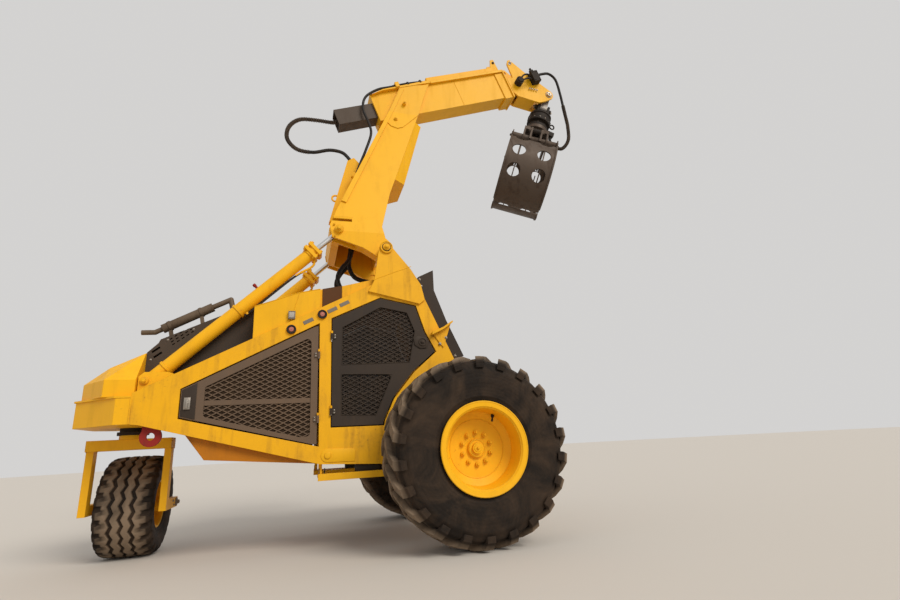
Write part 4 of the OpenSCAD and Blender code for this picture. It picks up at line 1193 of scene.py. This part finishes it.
@dataclass
class BodyWork:
    """Bolts, blank plates, seams, lamps and steps of the chassis."""

    palette: Palette
    frame_y: float = 0.620
    tank_y: float = 0.600
    ear_y: float = 0.645
    hood_y: float = 0.330
    # weld beads: radius, route on the far side
    beads: tuple[tuple[float, tuple[Point, ...]], ...] = (
        (0.0035, ((-0.805, 0.645, 2.502), (-0.600, 0.645, 2.590), (-0.401, 0.645, 2.671))),
        (0.006, ((-0.850, 0.621, 2.380), (-0.585, 0.621, 2.322), (-0.320, 0.621, 2.262),
                 (-0.265, 0.621, 2.310))),
        (0.006, ((-2.852, 0.620, 1.152), (-2.852, 0.620, 1.380))),
        (0.005, ((-2.850, 0.562, 1.388), (-3.088, 0.562, 1.388), (-3.345, 0.231, 1.388))),
        (0.004, ((-1.925, 0.600, 2.203), (-1.518, 0.600, 2.355), (-1.322, 0.600, 2.400))),
        (0.003, ((-1.518, 0.600, 2.355), (-1.600, 0.600, 2.060))))
    # painted shade panel: outline on the side, outline of its top strip
    panel_side: Outline = ((-1.300, 2.205), (-1.300, 2.408), (-1.108, 2.449), (-1.108, 2.262))
    panel_top: Outline = ((-1.300, 2.4085), (-1.300, 2.4135), (-1.108, 2.4550), (-1.108, 2.4500))
    bosses: Outline = ((-1.584, 1.975), (-1.300, 2.130))
    blank_plates: Outline = ((-1.430, 2.062), (-1.205, 2.180), (-1.088, 2.248))
    chord_lean: float = -27.6
    hood_bolts: Outline = (
        (-2.815, 1.742), (-2.690, 1.930), (-2.480, 2.035), (-2.270, 2.132), (-2.113, 2.196), (-1.966, 2.262))

    def bolts(self) -> None:
        """Make the bolts on the side frames, ears, hood and tank housing."""
        piece = Piece("chassis_bolts")
        for side in SIDES:
            out = Axis.Y.along(side)
            for x, z in self.hood_bolts:
                piece.bolt(at(x, side * self.hood_y, z), out, 0.013)
            for x, z in ((-0.292, 2.560), (-0.275, 2.486), (-0.060, 1.770), (0.060, 1.730)):
                piece.bolt(at(x, side * 0.560, z), out, 0.016)
            for x, z in ((-0.120, 1.842), (-0.052, 1.908)):
                piece.bolt(at(x, side * (self.frame_y + 0.012), z), out, 0.018)
        piece.finish("chassis", self.palette.silver, "bare_steel")

    def pins(self) -> None:
        """Make the painted heads of the boom's and cylinders' pins, and the shadow rings round them."""
        heads, rings = Piece("pin_heads"), Piece("pin_rings")
        for side in SIDES:
            out = Axis.Y.along(side)
            heads.bolt(at(-2.790, side * 0.545, 1.523), out, 0.036)
            middle = at(-0.660, side * (self.ear_y + 0.016), 2.870)
            heads.bolt(middle + out * 0.008, out, 0.038)
            heads.ring(middle, out, 0.062, 0.005, 40)
            rings.ring(middle, out, 0.042, 0.005, 32)
        heads.finish("chassis", self.palette.yellow, "yellow_paint")
        rings.finish("chassis", self.palette.cast, "cast_grey")

    def markers(self) -> None:
        """Make the round marker lamps on the side frames' bosses."""
        rims, lenses = Piece("marker_rims"), Piece("marker_lenses")
        for side in SIDES:
            out = Axis.Y.along(side)
            for x, z in self.bosses:
                middle = at(x, side * (self.frame_y + 0.016), z)
                rims.ring(middle, out, 0.037, 0.0085, 40)
                rims.drum(middle - out * 0.004, middle + out * 0.002, 0.037, sides=32)
                lenses.drum(middle, middle + out * 0.009, 0.026, 0.019, 32)
                lenses.drum(middle + out * 0.008, middle + out * 0.013, 0.010, 0.007, 20)
        rims.finish("chassis", self.palette.cast, "cast_grey")
        lenses.finish("chassis", self.palette.marker, "red_paint")

    def doubler(self) -> None:
        """Make the round-ended strip and its pin on each sill."""
        piece = Piece("sill_strips")
        low, high, left, right = 0.748, 0.868, -1.290, -0.985
        middle, reach = (low + high) / 2, (high - low) / 2
        outline = [(left + reach, high), (right, high - 0.010), (right, low - 0.004), (left + reach, low)]
        outline += [(left + reach - reach * math.sin(turn), middle - reach * math.cos(turn))
                    for turn in (math.pi * i / 10 for i in range(1, 10))]
        for side in SIDES:
            y = side * self.frame_y
            piece.plate(outline, y - side * 0.001, y + side * 0.006)
            pin = at(left + reach, y + side * 0.005, middle)
            piece.drum(pin, pin + Axis.Y.along(side * 0.012), 0.030, 0.028, 32)
        piece.bevelled(0.002, 2, 50.0)
        piece.finish("chassis", self.palette.yellow, "yellow_paint")

    def blanks(self) -> None:
        """Make the small plates that stay blank, and their rivets."""
        plates, rivets = Piece("blank_plates"), Piece("plate_rivets")
        lean = Matrix.Rotation(math.radians(self.chord_lean), 4, "Y")
        for side in SIDES:
            for x, z in self.blank_plates:
                place = Matrix.Translation(at(x, side * (self.frame_y + 0.001), z)) @ lean
                plates.block((-0.050, -0.002, -0.018), (0.050, 0.002, 0.018), place)
                for dx, dz in ((-0.043, -0.012), (0.043, -0.012), (-0.043, 0.012), (0.043, 0.012)):
                    spot = place @ Vector((dx, side * 0.002, dz))
                    rivets.drum(spot, spot + Vector((0, side * 0.0015, 0)), 0.0022, 0.0014, 10)
        plates.bevelled(0.0008, 1)
        plates.finish("chassis", self.palette.plate, "bare_steel")
        rivets.finish("chassis", self.palette.silver, "bare_steel")

    def seams(self) -> None:
        """Lay the weld beads that show on the ears, frames and tail."""
        piece = Piece("weld_seams")
        for side in SIDES:
            for radius, route in self.beads:
                piece.sweep([at(x, side * y, z) for x, y, z in route], radius, 8)
        piece.finish("chassis", self.palette.yellow, "yellow_paint")

    def roof_panel(self) -> None:
        """Make the dark-brown plate between tank housing and roof: painted shade on a face that lies in
        shadow.
        """
        piece = Piece("service_panel")
        for side in SIDES:
            piece.plate(self.panel_side, side * 0.5605, side * 0.5665)
        piece.plate(self.panel_top, -0.562, 0.562)
        piece.bevelled(0.0015, 1)
        piece.finish("chassis", self.palette.soil, "brown_paint")

    def lamps(self) -> None:
        """Make the side lamps' housings, lenses and ribs."""
        shell, lens = Piece("lamp_shells"), Piece("lamp_lenses")
        for side in SIDES:
            y0, y1 = side * self.tank_y, side * (self.tank_y + 0.036)
            for z in (2.080, 2.151):
                shell.box((-1.616, y0, z), (-1.552, y1, z + 0.006))
            for x in (-1.616, -1.558):
                shell.box((x, y0, 2.080), (x + 0.006, y1, 2.157))
            y = side * (self.tank_y + 0.0345)
            for i in range(5):
                z = 2.096 + 0.0115 * i
                lens.drum(at(-1.608, y, z), at(-1.560, y, z), 0.0042, sides=10)
        shell.bevelled(0.0015, 1)
        shell.finish("chassis", self.palette.silver, "bare_steel")
        lens.finish("chassis", self.palette.glass, "bare_steel")

    def steps(self) -> None:
        """Make the steps' grip bars, hangers and the black box under the sill."""
        piece = Piece("step_grips")
        for side in SIDES:
            for i in range(19):
                x = -1.290 + 0.031 * i
                piece.box((x, side * 0.470, 0.6445), (x + 0.008, side * 0.616, 0.6515))
        piece.finish("chassis", self.palette.yellow, "yellow_paint")
        box = Piece("sill_box")
        for side in SIDES:
            box.box((-0.970, side * 0.470, 0.650), (-0.757, side * 0.600, 0.736))
            box.box((-0.980, side * 0.466, 0.716), (-0.747, side * 0.604, 0.728))
        box.bevelled(0.004, 2)
        box.finish("chassis", self.palette.cast, "cast_grey")
        rail = Piece("step_rail")
        for side in SIDES:
            y = side * 0.628
            for x in (-1.302, -1.255):
                rail.sweep([at(x, y, 0.700), at(x, y, 0.600)], 0.005, 8)
        rail.finish("chassis", self.palette.cast, "cast_grey")

    def build(self) -> None:
        """Make all of the body's details."""
        self.bolts()
        self.pins()
        self.markers()
        self.doubler()
        self.blanks()
        self.seams()
        self.roof_panel()
        self.lamps()
        self.steps()


# Boom and grapple

@dataclass
class LiftCylinder:
    """Tie bolts, wiper ring, pipe and cap of one lift cylinder."""

    side: int
    palette: Palette
    line_y: float = 0.420
    bolt_spread: float = 0.064  # the tie bolts' distance from the cylinder's line, both ways
    pin_head: tuple[float, float] = (-1.138, 3.112)

    def spot(self, along: float, across: float = 0.0, up: float = 0.0) -> Vector:
        """Give a row point from the cylinder's own frame, across towards the machine's outside."""
        return CYLINDER.point(along, self.side * (self.line_y + across), up)

    def build(self) -> None:
        """Make the cylinder's details."""
        name = SIDE_NAMES[self.side]
        body = f"lift_cyl_{name}"
        along = CYLINDER.turn() @ Axis.X.along()
        bolts = Piece(f"cylinder_bolts_{name}")
        for across in (-self.bolt_spread, self.bolt_spread):
            for up in (-self.bolt_spread, self.bolt_spread):
                bolts.drum(self.spot(1.860, across, up), self.spot(1.992, across, up), 0.009, sides=12)
                bolts.bolt(self.spot(1.974, across, up), along, 0.024)
                bolts.bolt(self.spot(1.880, across, up), -along, 0.024)
        bolts.finish(body, self.palette.yellow, "yellow_paint")
        wiper = Piece(f"cylinder_wiper_{name}")
        wiper.ring(self.spot(1.975), along, 0.035, 0.006, 32)
        wiper.finish(body, self.palette.cast, "cast_grey")
        pipe = Piece(f"cylinder_pipe_{name}")
        route = [self.spot(1.880, 0, -0.070), self.spot(1.846, 0, -0.106), self.spot(1.790, 0, -0.112),
                 self.spot(1.700, 0, -0.092), self.spot(1.620, 0, -0.080)]
        pipe.sweep(smooth_line(route, 5), 0.012)
        pipe.bolt(self.spot(1.700, 0, -0.092), -along, 0.026, washer=False)
        pipe.finish(body, self.palette.yellow, "yellow_paint")
        black = Piece(f"cylinder_line_{name}")
        route = [self.spot(1.690, 0, -0.091), self.spot(1.560, 0, -0.079), self.spot(1.300, 0, -0.077),
                 self.spot(1.060, 0, -0.078), self.spot(1.020, 0, -0.081)]
        black.sweep(smooth_line(route, 5), 0.011)
        black.drum(self.spot(1.032, 0, -0.080), self.spot(0.992, 0, -0.074), 0.017, 0.015, 6)
        black.finish(body, self.palette.hose, "hose_rubber")
        cap = Piece(f"cylinder_cap_{name}")
        cap.drum(self.spot(1.260, 0, 0.060), self.spot(1.260, 0, 0.092), 0.014, 0.012, 16)
        cap.drum(self.spot(1.260, 0, 0.090), self.spot(1.260, 0, 0.116), 0.018, 0.016, 20)
        cap.bevelled(0.002, 2)
        cap.finish(body, self.palette.red, "red_paint")
        pin = Piece(f"cylinder_pin_{name}")
        out = Axis.Y.along(self.side)
        x, z = self.pin_head
        head = at(x, self.side * 0.520, z)
        pin.bolt(head, out, 0.044)
        pin.ring(head, out, 0.040, 0.004, 32)
        for dx, dz in ((-0.051, 0.0585), (-0.042, -0.078)):
            pin.bolt(at(x + dx, self.side * 0.492, z + dz), out, 0.014)
        pin.finish("boom", self.palette.yellow, "yellow_paint")


@dataclass
class BoomDetails:
    """Bolts, pipes, beads and fittings of the riser, the sliding arm and its head."""

    palette: Palette
    box_half: float = 0.120
    knee_holes: Outline = ((-0.306, 5.090), (-0.426, 4.831))

    def riser(self) -> None:
        """Make the riser's bolts and weld beads."""
        bolts = Piece("knee_bolts")
        for side in SIDES:
            for x, z in self.knee_holes:
                bolts.bolt(at(x, side * 0.198, z), Axis.Y.along(side), 0.022)
        bolts.finish("boom", self.palette.yellow, "yellow_paint")
        fillers = Piece("foot_fillers")
        for side in SIDES:
            fillers.box((-1.196, side * 0.405, 3.256), (-0.996, side * 0.4605, 3.284))
        fillers.finish("boom", self.palette.yellow, "yellow_paint")
        beads = Piece("boom_beads")
        for side in SIDES:
            y = side * self.box_half
            inner = side * 0.079
            for start, end, radius in (((0.700, y, 0.010), (0.700, y, 0.385), 0.0035),
                                       ((1.360, y, 0.010), (1.360, y, 0.385), 0.0035),
                                       ((0.352, y, 0.394), (1.355, y, 0.394), 0.0045),
                                       ((0.360, inner, 0.410), (1.436, inner, 0.410), 0.004)):
                beads.sweep([BOOM.point(*start), BOOM.point(*end)], radius, 8)
        beads.finish("boom", self.palette.yellow, "yellow_paint")

    def top_lines(self) -> None:
        """Make the steel lines along the knee's top flange and up the channel."""
        piece = Piece("knee_lines")
        for i, y in enumerate((-0.150, -0.130, -0.105)):
            lift = 0.448 - 0.004 * i
            route = ((-0.112, y, lift), (0.050, y, 0.450), (0.240, y * 0.8, 0.462), (0.330, y * 0.45, 0.474),
                     (0.352, y * 0.45, 0.474))
            piece.sweep(smooth_line([BOOM.point(*p) for p in route], 5), 0.0095, 10)
        piece.finish("boom", self.palette.hose, "hose_rubber")
        clamps = Piece("line_clamps")
        for s in (0.020, 0.200):
            turn = Matrix.Translation(BOOM.point(s, -0.120, 0.440)) @ BOOM.turn().to_4x4()
            clamps.block((-0.014, -0.045, -0.022), (0.014, 0.045, 0.020), turn)
            clamps.bolt(BOOM.point(s, -0.158, 0.458), BOOM.turn() @ Axis.Z.along(), 0.011, washer=False)
        clamps.bevelled(0.002, 1)
        clamps.finish("boom", self.palette.cast, "cast_grey")

    def arm_end(self) -> None:
        """Make the collar's bolts and the ears' pins on the outer arm."""
        up = BOOM.turn() @ Axis.Z.along()
        bolts = Piece("collar_bolts")
        for side in SIDES:
            out = Axis.Y.along(side)
            bolts.bolt(BOOM.point(1.462, side * 0.078, 0.610), out, 0.024)
        for s in (0.45, 0.70, 0.95, 1.20):
            for side in SIDES:
                bolts.bolt(BOOM.point(s, side * 0.100, 0.409), up, 0.014)
        bolts.finish("boom", self.palette.dark, "dark_paint")

    def head(self) -> None:
        """Make the boom head's pins, valve fittings and short lines."""
        mat = self.palette
        pins = Piece("head_pins")
        for side in SIDES:
            out = Axis.Y.along(side)
            middle = BOOM.point(2.088, side * 0.135, -0.081)
            pins.drum(middle - out * 0.002, middle + out * 0.006, 0.034, 0.031, 32)
            pins.bolt(middle + out * 0.005, out, 0.020)
            pins.ring(middle - out * 0.018, out, 0.046, 0.006, 40)
            pins.bolt(BOOM.point(1.702, side * 0.129, 0.535), out, 0.026)
        pins.finish("boom_slide", mat.silver, "bare_steel")
        fittings = Piece("valve_fittings")
        for t in (0.150, 0.230):
            fittings.drum(BOOM.point(2.004, -0.165, t), BOOM.point(2.030, -0.165, t), 0.021, sides=6)
        fittings.drum(BOOM.point(1.680, -0.200, 0.190), BOOM.point(1.680, -0.214, 0.190), 0.040, 0.036, 24)
        out = Axis.Y.along(-1)
        for s, t in around(6, 0.044):
            fittings.bolt(BOOM.point(1.680 + s, -0.199, 0.190 + t), out, 0.011, washer=False)
        for s in (1.915, 1.985):
            for t in (0.138, 0.268):
                fittings.bolt(BOOM.point(s, -0.214, t), out, 0.013, washer=False)
        fittings.drum(BOOM.point(1.940, -0.170, 0.322), BOOM.point(1.940, -0.170, 0.356), 0.017, sides=6)
        fittings.finish("boom_slide", mat.cast, "cast_grey")
        studs = Piece("head_studs")
        for s, t in ((1.815, 0.068), (1.850, 0.052), (1.885, 0.036), (1.920, 0.020)):
            studs.bolt(BOOM.point(s, -0.134, t), out, 0.015)
        studs.finish("boom_slide", mat.silver, "bare_steel")
        lines = Piece("valve_lines")
        for t, bow in ((0.205, 0.045), (0.165, 0.020)):
            route = ((1.700, -0.190, t + 0.01), (1.770, -0.205, t + bow), (1.840, -0.200, t + bow),
                     (1.897, -0.170, t + 0.012))
            lines.sweep(smooth_line([BOOM.point(*p) for p in route], 6), 0.012)
        lines.sweep([BOOM.point(1.960, 0.100, 0.050), BOOM.point(2.050, 0.030, -0.010)], 0.012)
        lines.finish("boom_slide", mat.hose, "hose_rubber")

    def build(self) -> None:
        """Make all of the boom's details."""
        self.riser()
        self.top_lines()
        self.arm_end()
        self.head()


@dataclass
class GrappleDetails:
    """Bolts, pins, caps and the lifting eye of the rotator, frame and jaws."""

    palette: Palette
    yaw: float = -14.0
    hinge: tuple[float, float] = (0.240, -0.990)
    jaw_half: float = 0.320

    def heading(self, x: float, y: float, z: float) -> Vector:
        """Give a row direction from the turned grapple's frame."""
        return HANG.turn() @ Matrix.Rotation(math.radians(self.yaw), 3, "Z") @ Vector((x, y, z))

    def turned(self, x: float, y: float, z: float) -> Vector:
        """Give a row point from the turned grapple's frame."""
        return LINK_PIN + self.heading(x, y, z)

    def rotator(self) -> None:
        """Make the rotator's flange bolts, swivel fittings and lifting eye."""
        piece = Piece("rotator_bolts")
        up = HANG.turn() @ Axis.Z.along()
        for x, y in around(12, 0.152, 12.0):
            piece.bolt(HANG.point(x, y, -0.470), up, 0.018)
        for side in SIDES:
            out = HANG.turn() @ Axis.X.along(side)
            piece.bolt(HANG.point(side * 0.128, 0, -0.190), out, 0.030)
        piece.finish("rotator_body", self.palette.silver, "bare_steel")
        eye = Piece("rotator_eye")
        side = HANG.turn() @ Axis.Y.along()
        eye.ring(HANG.point(0.205, -0.010, -0.425), side, 0.034, 0.010, 28)
        eye.finish("rotator_body", self.palette.cast, "cast_grey")

    def frame(self) -> None:
        """Make the frame's bolts on its turning plate."""
        piece = Piece("frame_bolts")
        up = self.heading(0, 0, 1)
        for x, y in around(8, 0.132, 5.0):
            piece.bolt(self.turned(x, y, -0.6005), up, 0.016)
        piece.finish("grapple", self.palette.silver, "bare_steel")

    def jaws(self) -> None:
        """Make the jaws' hinge caps and grease points."""
        for side, body in ((-1, "near_jaw"), (1, "far_jaw")):
            caps = Piece(f"{body}_caps")
            for end in SIDES:
                out = self.heading(end, 0, 0)
                face = self.turned(end * (self.jaw_half - 0.004), side * self.hinge[0], self.hinge[1])
                caps.drum(face, face + out * 0.010, 0.056, 0.050, 32)
                caps.bolt(face + out * 0.009, out, 0.030)
            for x in (-0.095, 0.095):
                lug = self.turned(x, side * (self.hinge[0] + 0.060), self.hinge[1] + 0.102)
                out = self.heading(math.copysign(1.0, x), 0, 0)
                caps.bolt(lug - out * 0.006, out, 0.024)
            caps.finish(body, self.palette.steel, "bare_steel")

    def build(self) -> None:
        """Make all of the grapple's details."""
        self.rotator()
        self.frame()
        self.jaws()


# Cab

@dataclass
class Seat:
    """The driver's seat: two sewn cushions, swollen as their padding swells them."""

    palette: Palette
    width: float = 0.440
    voxel: float = 0.008
    frames: int = 20
    pressure: float = 4.0
    cap: float = 0.022  # how far a point may swell
    channels: tuple[float, ...] = (-0.5, 0.0, 0.5)  # sewn channels, as shares of the half width
    rest: float = -0.012  # height at which an underside lies flat
    channel_depth: float = 0.010
    channel_half: float = 0.014
    channel_band: float = 0.020  # how far below the top a channel still pulls
    shell: Outline = ((-1.125, 1.3005), (-1.178, 1.925), (-1.164, 1.962), (-1.150, 1.945), (-1.100, 1.3005))

    @staticmethod
    def applied(piece: bpy.types.Object) -> bpy.types.Mesh:
        """Take a piece's modifiers into a mesh of its own.

        Args:
            piece: the object, which loses its modifiers.

        Returns:
            Its new mesh.
        """
        graph = bpy.context.evaluated_depsgraph_get()
        mesh = bpy.data.meshes.new_from_object(piece.evaluated_get(graph))
        piece.modifiers.clear()
        piece.data = mesh
        return mesh

    def swell(self, cushion: bpy.types.Object) -> None:
        """Blow a cushion up as cloth, hold it within the cap and keep the result as its mesh.

        Args:
            cushion: the plain closed cushion.
        """
        scene = bpy.context.scene
        remesh = cushion.modifiers.new("remesh", "REMESH")
        remesh.mode = "VOXEL"
        remesh.voxel_size = self.voxel
        start = [v.co.copy() for v in self.applied(cushion).vertices]
        cloth = cushion.modifiers.new("cloth", "CLOTH")
        cloth.settings.use_pressure = True
        cloth.settings.uniform_pressure_force = self.pressure
        cloth.settings.effector_weights.gravity = 0.0
        for number in range(1, self.frames + 1):
            scene.frame_set(number)
        for vert, before in zip(self.applied(cushion).vertices, start):
            move = vert.co - before
            if move.length > self.cap:
                vert.co = before + move.normalized() * self.cap
        scene.frame_set(1)

    def cushion(self, name: str, low: Point, high: Point, place: Matrix) -> None:
        """Make one sewn cushion.

        Args:
            name: its plain name.
            low: lowest corner, before it is placed.
            high: highest corner, before it is placed.
            place: where it goes.
        """
        piece = Piece(name)
        piece.block(low, high)
        piece.bevelled(0.030, 3)
        bmesh.ops.transform(piece.bm, matrix=place, verts=piece.bm.verts[:])
        cushion = piece.finish("chassis", self.palette.vinyl, "seat_vinyl", ("seat_cushion",), smooth=80.0)
        self.swell(cushion)
        mesh = cushion.data
        if not mesh.materials:
            mesh.materials.append(self.palette.vinyl)
        back = place.inverted()
        top, half = high[2], (high[1] - low[1]) / 2
        out = place.to_3x3() @ Axis.Z.along()
        for vert in mesh.vertices:
            local = back @ vert.co
            near = min(abs(local.y / half - c) for c in self.channels)
            if local.z > top - self.channel_band:
                vert.co -= out * self.channel_depth * max(0.0, 1.0 - near * half / self.channel_half)
            elif local.z < self.rest:
                vert.co += out * (self.rest - local.z)
        mesh.shade_smooth()
        finer = cushion.modifiers.new("finer", "SUBSURF")
        finer.levels = 1
        finer.render_levels = 1

    def build(self) -> None:
        """Make the seat's two cushions."""
        half = self.width / 2
        shell = Piece("seat_shell")
        shell.plate(self.shell, -0.205, 0.205)
        shell.bevelled(0.004, 2)
        shell.finish("chassis", self.palette.cast, "cast_grey", ("seat_cushion",))
        base = Matrix.Translation(at(-1.000, 0, 1.3125))
        self.cushion("seat_base_pad", (0.000, -half, 0.0), (0.335, half, 0.075), base)
        upright = Matrix.Translation(at(-1.095, 0, 1.340)) @ Matrix.Rotation(math.radians(85.3), 4, "Y")
        self.cushion("seat_back_pad", (-0.590, -half, 0.0), (-0.080, half, 0.062), upright)


def main() -> None:
    """Build the scene, sub-assembly by sub-assembly."""
    logging.basicConfig(level=logging.INFO, format="%(name)s: %(message)s")
    studio = Studio()
    studio.camera()
    palette = Palette()
    Hoses(palette).build()
    palette.dress_nodes()
    for side in SIDES:
        DriveWheel(side, palette).build()
        LiftCylinder(side, palette).build()
    CasterTyre(palette).build()
    CasterFork(palette).build()
    Doors(palette).build()
    BodyWork(palette).build()
    BoomDetails(palette).build()
    GrappleDetails(palette).build()
    Seat(palette).build()
    studio.floor()
    studio.light()


if __name__ == "__main__":
    main()
